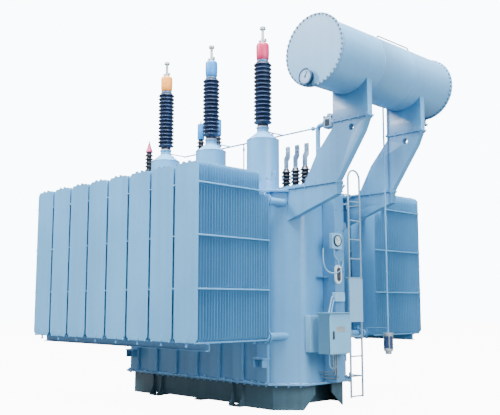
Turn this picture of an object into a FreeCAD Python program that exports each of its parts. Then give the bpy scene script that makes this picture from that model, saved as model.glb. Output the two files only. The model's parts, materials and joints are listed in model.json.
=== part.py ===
import FreeCAD, Part
import math
import os
import re
import Sketcher

# Power transformer, oil immersed, with two banks of panel radiators beside a
# corner-cut tank, three tall bushings on the cover and an oil conservator
# carried on two legs over the end wall.
# Millimetres.  X runs along the tank, Y across it, +Z is up.  The origin is
# on the ground under the middle of the tank.

SIZES = [
    # the base and the tank
    ("base_height", 385, "ground to the underside of the bottom flange"),
    ("base_plate", 25, "thickness of the base plates"),
    ("base_inset", 60, "base plates behind the tank wall"),
    ("foot_reach", 120, "how far a foot stands out from the base side"),
    ("foot_gap", 260, "distance between the two gussets of a foot"),
    ("foot_offset", 1060, "tank middle to the middle of a foot"),
    ("flange_thickness", 30, "bottom flange"),
    ("flange_overhang", 90, "bottom flange beyond the wall"),
    ("tank_length", 4420, "wall to wall along the tank"),
    ("tank_width", 1760, "wall to wall across the tank"),
    ("tank_height", 2990, "flange to the underside of the cover"),
    ("corner_cut", 370, "leg of the cut-off tank corners"),
    ("cover_thickness", 40, "tank cover"),
    ("cover_overhang", 45, "cover beyond the wall"),
    ("stiffener_width", 240, "wall stiffener along the wall"),
    ("stiffener_depth", 55, "wall stiffener outwards"),
    ("stiffener_drop", 60, "top of the stiffeners below the cover"),
    # the radiators
    ("radiator_count", 8, "radiators in one bank"),
    ("radiator_pitch", 564, "radiator to radiator"),
    ("fin_width", 520, "radiator panel width"),
    ("fin_height", 2521, "radiator panel height"),
    ("fin_base", 1100, "ground to the bottom of the panels"),
    ("fin_thickness", 14, "one panel"),
    ("fin_pitch", 51.3, "panel to panel"),
    ("fin_corner", 55, "cut corners of a panel"),
    ("full_fins", 24, "full height panels in a radiator"),
    ("short_fins", 4, "panels under the goose neck"),
    ("short_height", 2190, "height of the panels under the neck"),
    ("bank_gap", 445, "tank wall to the innermost panel"),
    ("header_radius", 42, "collector pipe through the panels"),
    ("top_header_drop", 80, "full panel top to the upper collector"),
    ("neck_drop", 60, "short panel top to the collector in the neck"),
    ("bottom_header_rise", 35, "panel bottom to the lower collector"),
    ("pipe_radius", 60, "oil pipe between tank and radiator"),
    ("valve_radius", 105, "butterfly valve body and its flanges"),
    ("valve_length", 90, "butterfly valve between the pipes"),
    ("tie_bar", 22, "square bar across the panel edges"),
    ("beam_height", 105, "beam under a radiator bank"),
    ("beam_depth", 60, "beam under a radiator bank, outwards"),
    # the high voltage bushings
    ("bushing_pitch", 1335, "bushing to bushing"),
    ("bushing_row", -500, "row of the high voltage bushings"),
    ("bushing_shift", -45, "middle bushing beside the tank middle"),
    ("turret_radius", 276, "bushing turret"),
    ("turret_height", 945, "cylinder of the turret above the cover"),
    ("turret_cone", 135, "sloping shoulder of the turret"),
    ("neck_radius", 102, "flanged neck under the porcelain"),
    ("neck_height", 85, "flanged neck"),
    ("foot_radius", 97, "plain foot of the porcelain"),
    ("porcelain_radius", 114, "porcelain between the sheds"),
    ("shed_radius", 155, "porcelain sheds"),
    ("shed_count", 15, "sheds on one bushing"),
    ("shed_pitch", 72, "shed to shed"),
    ("cap_radius", 112, "painted cap of a bushing"),
    ("cap_height", 335, "painted cap"),
    ("terminal_radius", 26, "terminal stud"),
    ("terminal_height", 300, "terminal stud above the cap"),
    # the smaller bushings
    ("rear_row", 450, "row of the medium voltage bushings"),
    ("rear_start", -1440, "first medium voltage bushing"),
    ("rear_pitch", 260, "medium voltage bushing pitch"),
    ("rear_radius", 85, "medium voltage sheds"),
    ("rear_height", 1240, "medium voltage bushing above the cover"),
    ("neutral_along", -1960, "neutral bushing along the tank"),
    ("neutral_row", -470, "neutral bushing across the tank"),
    ("neutral_height", 1450, "neutral bushing above the cover"),
    ("low_start", 1365, "first low voltage bushing"),
    ("low_pitch", 215, "low voltage bushing pitch"),
    ("low_row", 0, "row of the low voltage bushings"),
    ("low_box_height", 175, "raised box under the low voltage bushings"),
    ("low_box_width", 300, "raised box across the tank"),
    ("low_box_margin", 112, "raised box beyond the outer bushings"),
    ("low_height", 320, "low voltage porcelain above its box"),
    ("bar_height", 400, "low voltage terminal bar"),
    ("bar_width", 100, "low voltage terminal bar"),
    ("bar_thickness", 18, "low voltage terminal bar"),
    # the conservator and what carries it
    ("conservator_reach", 1055, "end wall to the conservator's axis"),
    ("conservator_rise", 1812, "conservator's axis above the cover"),
    ("conservator_radius", 495, "conservator shell"),
    ("conservator_length", 2892, "conservator shell between its covers"),
    ("conservator_wall", 8, "conservator shell"),
    ("rim_lip", 46, "near bolted rim and end cover beyond the shell"),
    ("far_rim_lip", 23, "far bolted rim and end cover beyond the shell"),
    ("rim_thickness", 16, "one end cover"),
    ("leg_row", 700, "face of a leg from the tank middle"),
    ("leg_thickness", 110, "leg across the tank"),
    ("leg_foot", 680, "leg along the tank where it stands on its bracket"),
    ("bracket_rise", 15, "top of the brackets above the cover"),
    ("bracket_root", 580, "depth of a bracket at the tank"),
    ("bracket_tip", 190, "depth of a bracket at its tip"),
    ("bracket_plate", 980, "plate on top of a bracket"),
    ("bracket_length", 840, "end wall to the tip of the brackets"),
    ("saddle_rise", 935, "joint between leg and saddle above the cover"),
    ("saddle_gap", 770, "end wall to the saddle's inner edge"),
    ("saddle_reach", 1430, "end wall to the saddle's outer edge"),
    ("leg_lean", 340, "bend of the leg's inner edge before the saddle"),
    ("leg_rise", 460, "bend of the leg's inner edge below the saddle"),
    ("seat_gap", 0.3, "running gap where a curved face is seated"),
    # pipes and instruments
    ("relay_pipe_radius", 40, "pipe from the cover to the conservator"),
    ("riser_inset", 120, "riser of the relay pipe inside the end wall"),
    ("riser_height", 1145, "relay above the cover"),
    ("gas_pipe_radius", 14, "gas collecting pipe"),
    ("gas_pipe_drop", 30, "gas collecting pipe below the relay"),
    ("gas_post_along", 304, "post under the gas collecting pipe"),
    ("breather_reach", 750, "end wall to the breather pipe"),
    ("breather_row", 640, "breather pipe across the tank"),
    ("breather_level", 1178, "top flange of the breather"),
    ("breather_radius", 72, "drying chamber"),
    ("duct_row", 50, "middle of the end wall duct"),
    ("duct_width", 220, "end wall duct"),
    ("duct_depth", 260, "end wall duct outwards"),
    # the ladder
    ("ladder_gap", 257, "tank end wall to the ladder"),
    ("ladder_row", 450, "middle of the ladder"),
    ("ladder_width", 300, "rail to rail"),
    ("ladder_bottom", 150, "lower end of the rails"),
    ("ladder_rise", 245, "straight rails above the cover"),
    ("rail_radius", 17, "ladder rail"),
    ("rung_radius", 12, "ladder rung"),
    ("rung_pitch", 314, "rung to rung"),
    ("guard_width", 352, "climbing guard plate"),
    ("guard_height", 700, "climbing guard plate"),
    ("guard_level", 1345, "lower edge of the climbing guard"),
    # the control box
    ("box_width", 500, "control box across the tank"),
    ("box_height", 615, "control box"),
    ("box_depth", 236, "control box outwards"),
    ("box_row", -240, "middle of the control box"),
    ("box_level", 875, "underside of the control box"),
    ("box_wall", 5, "sheet of the control box"),
    ("door_thickness", 20, "folded door"),
    ("door_gap", 6, "clearance around the door"),
]

document = FreeCAD.newDocument("PowerTransformer")
sheet = document.addObject("Spreadsheet::Sheet", "Sizes")
for row, (alias, size, note) in enumerate(SIZES, start=1):
    sheet.set(f"A{row}", note)
    sheet.set(f"B{row}", str(size))
    sheet.setAlias(f"B{row}", alias)
document.recompute()

ALIASES = {alias for alias, size, note in SIZES}


def rule(text):
    """A sum of sizes as an expression on the sheet."""
    def named(match):
        word = match.group(0)
        return f"Sizes.{word}" if word in ALIASES else word
    return re.sub(r"[a-z_]+", named, str(text))


def amount(text):
    """The same sum worked out as a number."""
    return float(sheet.evalExpression(str(text)))


def place(thing, x, y, z):
    """Tie an object's place to the sheet."""
    for axis, text in zip("xyz", (x, y, z)):
        thing.setExpression(f"Placement.Base.{axis}", rule(text))
    return thing


def bind(thing, **rules):
    """Tie an object's sizes to the sheet."""
    for path, text in rules.items():
        thing.setExpression(path, rule(text))
    return thing


def block(name, x, y, z, length, width, height):
    """A box from its lowest corner."""
    box = document.addObject("Part::Box", name)
    bind(box, Length=length, Width=width, Height=height)
    return place(box, x, y, z)


TURNS = {
    "x": FreeCAD.Rotation(FreeCAD.Vector(0, 1, 0), 90),
    "y": FreeCAD.Rotation(FreeCAD.Vector(1, 0, 0), -90),
    "z": FreeCAD.Rotation(),
}


def rod(name, x, y, z, radius, length, axis="z"):
    """A round bar that starts at a point and runs along an axis."""
    bar = document.addObject("Part::Cylinder", name)
    bar.Placement = FreeCAD.Placement(FreeCAD.Vector(), TURNS[axis])
    bind(bar, Radius=radius, Height=length)
    return place(bar, x, y, z)


def cone(name, x, y, z, bottom_radius, top_radius, height):
    """An upright cone."""
    frustum = document.addObject("Part::Cone", name)
    bind(frustum, Radius1=bottom_radius, Radius2=top_radius, Height=height)
    return place(frustum, x, y, z)


def ball(name, x, y, z, radius):
    """A pipe elbow's round corner."""
    sphere = document.addObject("Part::Sphere", name)
    bind(sphere, Radius=radius)
    return place(sphere, x, y, z)


def outline_sketch(body, plane, corners, level="0"):
    """A closed outline of straight edges, each corner tied to the sheet."""
    sketch = body.newObject("Sketcher::SketchObject", "Outline")
    base = [item for item in body.Origin.OriginFeatures if item.Role == plane + "_Plane"][0]
    sketch.AttachmentSupport = [(base, "")]
    sketch.MapMode = "FlatFace"
    sketch.setExpression("AttachmentOffset.Base.z", rule(level))
    points = [FreeCAD.Vector(amount(a), amount(b), 0) for a, b in corners]
    for index, point in enumerate(points):
        after = points[(index + 1) % len(points)]
        sketch.addGeometry(Part.LineSegment(point, after), False)
    for index in range(len(points)):
        after = (index + 1) % len(points)
        sketch.addConstraint(Sketcher.Constraint("Coincident", index, 2, after, 1))
    for index, (point, texts) in enumerate(zip(points, corners)):
        for kind, now, text in (("DistanceX", point.x, texts[0]), ("DistanceY", point.y, texts[1])):
            number = sketch.addConstraint(Sketcher.Constraint(kind, -1, 1, index, 1, now))
            sketch.setExpression(f"Constraints[{number}]", rule(text))
    return sketch


def circle_sketch(body, plane, across, up, radius, level="0"):
    """A circle tied to the sheet."""
    sketch = body.newObject("Sketcher::SketchObject", "Round")
    base = [item for item in body.Origin.OriginFeatures if item.Role == plane + "_Plane"][0]
    sketch.AttachmentSupport = [(base, "")]
    sketch.MapMode = "FlatFace"
    sketch.setExpression("AttachmentOffset.Base.z", rule(level))
    centre = FreeCAD.Vector(amount(across), amount(up), 0)
    sketch.addGeometry(Part.Circle(centre, FreeCAD.Vector(0, 0, 1), amount(radius)), False)
    ties = (
        (Sketcher.Constraint("DistanceX", -1, 1, 0, 3, centre.x), across),
        (Sketcher.Constraint("DistanceY", -1, 1, 0, 3, centre.y), up),
        (Sketcher.Constraint("Radius", 0, amount(radius)), radius),
    )
    for tie, text in ties:
        number = sketch.addConstraint(tie)
        sketch.setExpression(f"Constraints[{number}]", rule(text))
    return sketch


def pad(body, sketch, length, midplane=False):
    """A sketch pushed out into a solid."""
    feature = body.newObject("PartDesign::Pad", "Pad")
    feature.Profile = sketch
    feature.Midplane = midplane
    bind(feature, Length=length)
    sketch.Visibility = False
    return feature


def prism(name, plane, corners, depth, x="0", y="0", z="0"):
    """A straight-edged plate; upright ones are centred on their plane."""
    body = document.addObject("PartDesign::Body", name)
    pad(body, outline_sketch(body, plane, corners), depth, midplane=plane != "XY")
    return place(body, x, y, z)


def fuse(name, pieces):
    """Pieces that are welded or cast together."""
    joined = document.addObject("Part::MultiFuse", name)
    joined.Shapes = pieces
    return joined


def cut(name, piece, tool):
    """A piece with another one's shape taken out."""
    result = document.addObject("Part::Cut", name)
    result.Base = piece
    result.Tool = tool
    return result


def gather(name, pieces):
    """Like pieces that do not touch."""
    bundle = document.addObject("Part::Compound", name)
    bundle.Links = pieces
    return bundle


def copy_of(name, pattern, x, y, z, half_turn=False):
    """The pattern again at another place."""
    again = document.addObject("Part::Compound", name)
    again.Links = [pattern]
    if half_turn:
        turn = FreeCAD.Rotation(FreeCAD.Vector(0, 0, 1), 180)
        again.Placement = FreeCAD.Placement(FreeCAD.Vector(), turn)
    return place(again, x, y, z)


def mirrored(name, source, across):
    """The piece on the other side of the tank's middle."""
    other = document.addObject("Part::Mirroring", name)
    other.Source = source
    other.Normal = FreeCAD.Vector(1, 0, 0) if across == "x" else FreeCAD.Vector(0, 1, 0)
    return other


subparts = []


def subpart(label, thing):
    """Name a finished piece and keep it for export."""
    thing.Label = label
    subparts.append(thing)
    return thing


# ---------------------------------------------------------------- the tank
FLANGE_TOP = "(base_height + flange_thickness)"
COVER_BASE = f"({FLANGE_TOP} + tank_height)"
COVER_TOP = f"({COVER_BASE} + cover_thickness)"
END_WALL = "(tank_length / 2)"
VESSEL_ALONG = f"({END_WALL} + conservator_reach)"
VESSEL_LEVEL = f"({COVER_TOP} + conservator_rise)"
BRACKET_TOP = f"({COVER_TOP} + bracket_rise)"
BRACKET_END = f"({END_WALL} + bracket_length)"
SADDLE_LEVEL = f"({COVER_TOP} + saddle_rise)"
SADDLE_START = f"({END_WALL} + saddle_gap)"
SADDLE_END = f"({END_WALL} + saddle_reach)"
RISER_ALONG = f"({END_WALL} - riser_inset)"
RISER_TOP = f"({COVER_TOP} + riser_height)"
BREATHER_ALONG = f"({END_WALL} + breather_reach)"
LADDER_TOP = f"({COVER_TOP} + ladder_rise)"
BEND = math.tan(math.radians(22.5))


def tank_outline(grow):
    """The corner-cut plan of the tank, moved out by a distance."""
    along = f"(tank_length / 2 + {grow})"
    across = f"(tank_width / 2 + {grow})"
    leg = f"(corner_cut + {2 - math.sqrt(2):.4f} * ({grow}))"
    corners = []
    for side_x, side_y, end_first in ((1, -1, False), (1, 1, True), (-1, 1, False), (-1, -1, True)):
        pair = [
            (f"{side_x} * ({along} - {leg})", f"{side_y} * {across}"),
            (f"{side_x} * {along}", f"{side_y} * ({across} - {leg})"),
        ]
        corners += reversed(pair) if end_first else pair
    return corners


tank = prism("Tank", "XY", tank_outline("0"), "tank_height", z=FLANGE_TOP)
subpart("tank_body", tank)
flange = prism("Flange", "XY", tank_outline("flange_overhang"), "flange_thickness", z="base_height")
subpart("bottom_flange", flange)
cover = prism("Cover", "XY", tank_outline("cover_overhang"), "cover_thickness", z=COVER_BASE)
low_box = block("LowBox", "low_start - low_box_margin", "low_row - low_box_width / 2", COVER_BASE,
                "2 * (low_pitch + low_box_margin)", "low_box_width", "cover_thickness + low_box_height")
subpart("tank_cover", fuse("CoverAndBox", [cover, low_box]))


def wall_stiffeners(side):
    """Upright box stiffeners between the oil pipes of one long wall."""
    pieces = []
    top = "(tank_height - stiffener_drop)"
    for step in range(-3, 4):
        y = "tank_width / 2" if side > 0 else "-tank_width / 2 - stiffener_depth"
        x = f"{step} * radiator_pitch - stiffener_width / 2"
        name = f"Stiffener{step + 4}"
        pieces.append(block(name, x, y, FLANGE_TOP, "stiffener_width", "stiffener_depth", top))
    return gather("Stiffeners", pieces)


subpart("near_wall_stiffeners", wall_stiffeners(-1))
subpart("far_wall_stiffeners", wall_stiffeners(1))

# ------------------------------------------- the base under the bottom flange
BASE_ALONG = "(tank_length / 2 - base_inset)"
BASE_ACROSS = "(tank_width / 2 - base_inset)"
BASE_LEG = f"(corner_cut - {2 - math.sqrt(2):.4f} * base_inset)"
SKIRT_START = "(foot_offset + foot_gap / 2 - base_plate)"
SKIRT_END = 200
SIDE_RISE = 35


def corner_skirt():
    """The bent plate around one corner, cut away at its lower inner end."""
    bend = f"({BEND:.4f} * base_plate)"
    corners = [
        (SKIRT_START, BASE_ACROSS),
        (SKIRT_START, f"{BASE_ACROSS} - base_plate"),
        (f"{BASE_ALONG} - {BASE_LEG} - {bend}", f"{BASE_ACROSS} - base_plate"),
        (f"{BASE_ALONG} - base_plate", f"{BASE_ACROSS} - {BASE_LEG} - {bend}"),
        (f"{BASE_ALONG} - base_plate", SKIRT_END),
        (BASE_ALONG, SKIRT_END),
        (BASE_ALONG, f"{BASE_ACROSS} - {BASE_LEG}"),
        (f"{BASE_ALONG} - {BASE_LEG}", BASE_ACROSS),
    ]
    plate = prism("Skirt", "XY", corners, "base_height")
    start = SKIRT_END - 10
    wedge = [(start, -10), (f"{BASE_ACROSS} - {BASE_LEG}", -10), (start, "0.6 * base_height")]
    notch = prism("SkirtNotch", "YZ", wedge, "4 * base_plate", x=f"{BASE_ALONG} - base_plate / 2")
    return cut("CornerSkirt", plate, notch)


def foot():
    """Two flared gussets on a pad at the base side."""
    outer = f"({BASE_ACROSS} + foot_reach)"
    toe, instep = 50, 150
    flare = [
        (BASE_ACROSS, 0),
        (outer, 0),
        (outer, toe),
        (f"{BASE_ACROSS} + foot_reach / 2", instep),
        (f"{BASE_ACROSS} + foot_reach / 3", "base_height"),
        (BASE_ACROSS, "base_height"),
    ]
    pieces = []
    for side in (-1, 1):
        x = f"foot_offset + {side} * (foot_gap - base_plate) / 2"
        pieces.append(prism("Gusset", "YZ", flare, "base_plate", x=x))
    start = "foot_offset - foot_gap / 2"
    pieces.append(block("FootPad", start, BASE_ACROSS, 0, "foot_gap", "foot_reach", "base_plate"))
    return fuse("Foot", pieces)


quarter = fuse("BaseCorner", [corner_skirt(), foot()])
other_end = mirrored("BaseCornerOtherEnd", quarter, "x")
base_side = fuse("BaseSide", [quarter, other_end])
base_pieces = [base_side, mirrored("BaseOtherSide", base_side, "y")]
for side in (-1, 1):
    side_start = f"-({BASE_ALONG} - {BASE_LEG})"
    side_length = f"2 * ({BASE_ALONG} - {BASE_LEG})"
    face = f"{BASE_ACROSS} - base_plate" if side > 0 else f"-{BASE_ACROSS}"
    height = f"base_height - {SIDE_RISE}"
    name = "BaseSideWeb"
    base_pieces.append(block(name, side_start, face, SIDE_RISE, side_length, "base_plate", height))
BEAM_FLANGE = 160
for place_along in ("0", "foot_offset", "-foot_offset"):
    x = f"{place_along} - base_plate / 2"
    width = f"2 * {BASE_ACROSS} - base_plate"
    start = f"-{BASE_ACROSS} + base_plate / 2"
    base_pieces.append(block("CrossWeb", x, start, 0, "base_plate", width, "base_height"))
    x = f"{place_along} - {BEAM_FLANGE} / 2"
    base_pieces.append(block("CrossFlange", x, start, 0, BEAM_FLANGE, width, "base_plate"))
for side in (-1, 1):
    x = f"{side} * ({BASE_ALONG} - {BASE_LEG} - base_plate) - base_plate / 2"
    width = f"2 * {BASE_ACROSS} - base_plate"
    start = f"-{BASE_ACROSS} + base_plate / 2"
    base_pieces.append(block("EndWeb", x, start, SIDE_RISE, "base_plate", width, height))
subpart("base_frame", fuse("BaseFrame", base_pieces))

# ---------------------------------------------------------- the radiators
BANK_DEPTH = "(fin_pitch * (full_fins + short_fins - 1) + fin_thickness)"
BANK_FACE = "(tank_width / 2 + bank_gap)"
TOP_PIPE = "(short_height - neck_drop)"
UPPER_HEADER = "(fin_height - top_header_drop)"
FULL_START = "(short_fins * fin_pitch)"


def panel_corners(height):
    """A radiator panel with its corners cut off."""
    half = "fin_width / 2"
    return [
        (f"-{half} + fin_corner", 0),
        (f"{half} - fin_corner", 0),
        (half, "fin_corner"),
        (half, f"{height} - fin_corner"),
        (f"{half} - fin_corner", height),
        (f"-{half} + fin_corner", height),
        (f"-{half}", f"{height} - fin_corner"),
        (f"-{half}", "fin_corner"),
    ]


def radiator_pattern():
    """One radiator, its inner face on the XZ plane and its panels towards -Y."""
    body = document.addObject("PartDesign::Body", "RadiatorPanels")
    low = circle_sketch(body, "XZ", 0, "bottom_header_rise", "header_radius")
    pad(body, low, BANK_DEPTH)
    middle = circle_sketch(body, "XZ", 0, TOP_PIPE, "header_radius")
    short_header = None
    for height, count, level in (
        ("short_height", "short_fins", "0"),
        ("fin_height", "full_fins", FULL_START),
    ):
        panel = pad(body, outline_sketch(body, "XZ", panel_corners(height), level), "fin_thickness")
        row = body.newObject("PartDesign::LinearPattern", "PanelRow")
        row.Originals = [panel]
        row.Direction = ([item for item in body.Origin.OriginFeatures if item.Role == "Y_Axis"][0], [""])
        row.Reversed = True
        bind(row, Length=f"({count} - 1) * fin_pitch", Occurrences=count)
        body.Tip = row
        document.recompute()
    pad(body, middle, f"{FULL_START} + fin_thickness")
    upper = circle_sketch(body, "XZ", 0, UPPER_HEADER, "header_radius", FULL_START)
    pad(body, upper, f"{BANK_DEPTH} - {FULL_START}")
    half = "header_radius"
    neck = [
        (f"-{half}", f"{TOP_PIPE} - {half}"),
        (half, f"{TOP_PIPE} - {half}"),
        (half, f"{UPPER_HEADER} + {half}"),
        (f"-{half}", f"{UPPER_HEADER} + {half}"),
    ]
    level = f"({FULL_START} - fin_pitch + fin_thickness)"
    neck_sketch = outline_sketch(body, "XZ", neck, level)
    body.Tip = pad(body, neck_sketch, "fin_pitch - fin_thickness")
    return body


panels = radiator_pattern()
TIE_LEVELS = ("0", "0.293 * fin_height", "0.587 * fin_height", "0.88 * fin_height")
radiator_pieces = [panels]
for level in TIE_LEVELS:
    for side in (-1, 1):
        x = f"{side} * fin_width / 2 - tie_bar / 2"
        if level == "0":
            x = f"{side} * (fin_width / 2 - fin_corner) - tie_bar / 2"
        z = f"{level} - tie_bar / 2"
        y = f"-{BANK_DEPTH}"
        radiator_pieces.append(block("TieBar", x, y, z, "tie_bar", BANK_DEPTH, "tie_bar"))
PLUG_RADIUS = 18
PLUG_DROP = 65
PLUG_INSETS = (60, f"({BANK_DEPTH} - 30)")
for inset in PLUG_INSETS:
    plug = rod("DrainPlug", 0, f"-{inset}", -PLUG_DROP, PLUG_RADIUS, PLUG_DROP)
    radiator_pieces.append(plug)
VENT_RISE = 35
VENT_INSET = 40
radiator_pieces.append(rod("VentPlug", 0, f"-{BANK_DEPTH} + {VENT_INSET}", UPPER_HEADER, PLUG_RADIUS,
                           f"top_header_drop + {VENT_RISE}"))
radiator = fuse("Radiator", radiator_pieces)

for side, bank in ((-1, "near"), (1, "far")):
    for number in range(int(amount("radiator_count"))):
        x = f"({number} - (radiator_count - 1) / 2) * radiator_pitch"
        unit = copy_of("RadiatorUnit", radiator, x, f"{side} * {BANK_FACE}", "fin_base", side > 0)
        subpart(f"{bank}_radiator_{number + 1}", unit)


def oil_pipes(side, level):
    """A pipe and a butterfly valve between the tank and each radiator."""
    pipes = []
    for number in range(int(amount("radiator_count"))):
        x = f"({number} - (radiator_count - 1) / 2) * radiator_pitch"
        reach = "bank_gap + corner_cut"
        start = f"-{BANK_FACE}" if side < 0 else f"{BANK_FACE} - ({reach})"
        pipe = rod("Pipe", x, start, level, "pipe_radius", reach, "y")
        middle = f"{side} * ({BANK_FACE} - 0.4 * bank_gap) - valve_length / 2"
        valve = rod("Valve", x, middle, level, "valve_radius", "valve_length", "y")
        pipes.append(cut("OilPipe", fuse("PipeAndValve", [pipe, valve]), tank))
    return gather("OilPipes", pipes)


TOP_LEVEL = f"fin_base + {TOP_PIPE}"
LOW_LEVEL = "fin_base + bottom_header_rise"
for side, bank in ((-1, "near"), (1, "far")):
    subpart(f"{bank}_top_pipes", oil_pipes(side, TOP_LEVEL))
    subpart(f"{bank}_bottom_pipes", oil_pipes(side, LOW_LEVEL))

BEAM_SETBACK = 190
for side, bank in ((-1, "near"), (1, "far")):
    length = "(radiator_pitch * (radiator_count - 1) + fin_width - fin_corner)"
    outer = f"({BANK_FACE} + {BANK_DEPTH} - {BEAM_SETBACK})"
    y = f"-{outer}" if side < 0 else f"{outer} - beam_depth"
    z = "fin_base - tie_bar / 2 - beam_height"
    beam = block("BankBeam", f"-{length} / 2", y, z, length, "beam_depth", "beam_height")
    subpart(f"{bank}_radiator_beam", beam)

# ------------------------------------------------- high voltage bushings
TURRET_TOP = f"({COVER_TOP} + turret_height + turret_cone)"
NECK_TOP = f"({TURRET_TOP} + neck_height)"
SHED_START = f"({NECK_TOP} + shed_pitch)"
PORCELAIN_TOP = f"({SHED_START} + shed_count * shed_pitch)"
RING_LIP = 40
RING_HEIGHT = 30
COLLAR_HEIGHT = 30
CLAMP_HEIGHT = 20
SHED_UNDERSIDE = 12
SHED_EDGE = 14
SHED_SLOPE = 30


def turret_pattern():
    """The welded drum, its sloping shoulder and the flanged neck."""
    drum = rod("TurretDrum", 0, 0, COVER_TOP, "turret_radius", "turret_height")
    foot_ring = rod("TurretRing", 0, 0, COVER_TOP, f"turret_radius + {RING_LIP}", RING_HEIGHT)
    shoulder_level = f"{COVER_TOP} + turret_height"
    shoulder = cone("Shoulder", 0, 0, shoulder_level, "turret_radius", "neck_radius", "turret_cone")
    neck = rod("Neck", 0, 0, TURRET_TOP, "neck_radius", "neck_height")
    return fuse("Turret", [drum, foot_ring, shoulder, neck])


def porcelain_pattern():
    """The porcelain column with its sheds."""
    pieces = [
        rod("PorcelainFoot", 0, 0, NECK_TOP, "foot_radius", "1.2 * shed_pitch"),
        rod("Column", 0, 0, SHED_START, "porcelain_radius", f"{PORCELAIN_TOP} - {SHED_START}"),
    ]
    for number in range(int(amount("shed_count"))):
        level = f"{SHED_START} + {number} * shed_pitch"
        pieces.append(cone("ShedUnder", 0, 0, level, "porcelain_radius", "shed_radius", SHED_UNDERSIDE))
        level = f"{level} + {SHED_UNDERSIDE}"
        pieces.append(rod("ShedEdge", 0, 0, level, "shed_radius", SHED_EDGE))
        level = f"{level} + {SHED_EDGE}"
        pieces.append(cone("ShedTop", 0, 0, level, "shed_radius", "porcelain_radius", SHED_SLOPE))
    return fuse("Porcelain", pieces)


def cap_pattern():
    """The painted cap, the terminal stud and its clamp."""
    cap = rod("Cap", 0, 0, PORCELAIN_TOP, "cap_radius", "cap_height")
    cap_top = f"{PORCELAIN_TOP} + cap_height"
    collar = rod("CapCollar", 0, 0, cap_top, "0.6 * cap_radius", COLLAR_HEIGHT)
    stud = rod("Stud", 0, 0, cap_top, "terminal_radius", "terminal_height")
    clamp_level = f"{cap_top} + terminal_height - {CLAMP_HEIGHT}"
    clamp = rod("Clamp", 0, 0, clamp_level, "2 * terminal_radius", CLAMP_HEIGHT)
    return fuse("CapAndStud", [cap, collar, stud, clamp])


turret, porcelain, cap = turret_pattern(), porcelain_pattern(), cap_pattern()
for step, letter, colour in ((-1, "a", "yellow"), (0, "b", "blue"), (1, "c", "red")):
    x = f"bushing_shift + {step} * bushing_pitch"
    subpart(f"hv_turret_{letter}", copy_of("TurretUnit", turret, x, "bushing_row", 0))
    subpart(f"hv_insulator_{letter}", copy_of("PorcelainUnit", porcelain, x, "bushing_row", 0))
    subpart(f"hv_cap_{colour}", copy_of("CapUnit", cap, x, "bushing_row", 0))

# ---------------------------------------------------- the smaller bushings
SMALL_SHEDS = 12
SMALL_SHED_PITCH = 75


def small_bushing(x, y, height, cap_part, tip_radius):
    """A slim bushing: flanged foot, sheds, a painted cap and a stud."""
    foot_height = f"({height} - {SMALL_SHEDS * SMALL_SHED_PITCH} - {cap_part} - 80)"
    pieces = [
        rod("SmallFoot", x, y, COVER_TOP, "rear_radius + 12", foot_height),
        rod("SmallCore", x, y, COVER_TOP, "0.6 * rear_radius", f"{height} - 70"),
    ]
    for number in range(SMALL_SHEDS):
        level = f"{COVER_TOP} + {foot_height} + {10 + number * SMALL_SHED_PITCH}"
        pieces.append(cone("SmallShed", x, y, level, "rear_radius", "0.6 * rear_radius", 36))
    cap_level = f"{COVER_TOP} + {height} - {cap_part} - 70"
    pieces.append(cone("SmallCap", x, y, cap_level, "0.85 * rear_radius", tip_radius, cap_part))
    pieces.append(rod("SmallStud", x, y, f"{COVER_TOP} + {height} - 80", 14, 80))
    return fuse("SmallBushing", pieces)


subpart("neutral_bushing", small_bushing("neutral_along", "neutral_row", "neutral_height", 160, 26))
rear = []
for number in range(3):
    x = f"rear_start + {number} * rear_pitch"
    rear.append(small_bushing(x, "rear_row", "(rear_height + 700)", 325, "0.85 * rear_radius"))
subpart("rear_bushings", gather("RearBushings", rear))

LOW_FOOT = f"({COVER_TOP} + low_box_height)"
LOW_CORE = 52
LOW_SHED = 88
LOW_SHED_PITCH = 62
LOW_SHED_SLOPE = 40
low_porcelain, low_bars = [], []
for number in range(3):
    x = f"(low_start + {number} * low_pitch)"
    pieces = [rod("LowCore", x, "low_row", LOW_FOOT, LOW_CORE, "low_height")]
    for shed in range(4):
        level = f"{LOW_FOOT} + low_height - {(shed + 1) * LOW_SHED_PITCH}"
        pieces.append(cone("LowShed", x, "low_row", level, LOW_SHED, LOW_CORE, LOW_SHED_SLOPE))
    low_porcelain.append(fuse("LowPorcelain", pieces))
    base = f"({LOW_FOOT} + low_height)"
    middle = f"({base} + 0.5 * bar_height)"
    half = "bar_width / 2"
    step = "0.4 * bar_width"
    outline = [
        (f"-{half}", base),
        (half, base),
        (half, f"{middle} - 60"),
        (f"{half} + {step}", middle),
        (f"{half} + {step}", f"{base} + bar_height"),
        (f"-{half} + {step}", f"{base} + bar_height"),
        (f"-{half} + {step}", f"{middle} + 60"),
        (f"-{half}", middle),
    ]
    low_bars.append(prism("LowBar", "XZ", outline, "bar_thickness", x=x, y="low_row"))
subpart("low_voltage_insulators", gather("LowPorcelains", low_porcelain))
subpart("low_voltage_bars", gather("LowBars", low_bars))

# ---------------------------------------------------------- the conservator
SHELL_START = "(-conservator_length / 2)"
AXIS = (VESSEL_ALONG, VESSEL_LEVEL)


def across_rod(name, start, radius, length):
    """A round piece on the conservator's own axis."""
    return rod(name, AXIS[0], start, AXIS[1], radius, length, "y")


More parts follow.
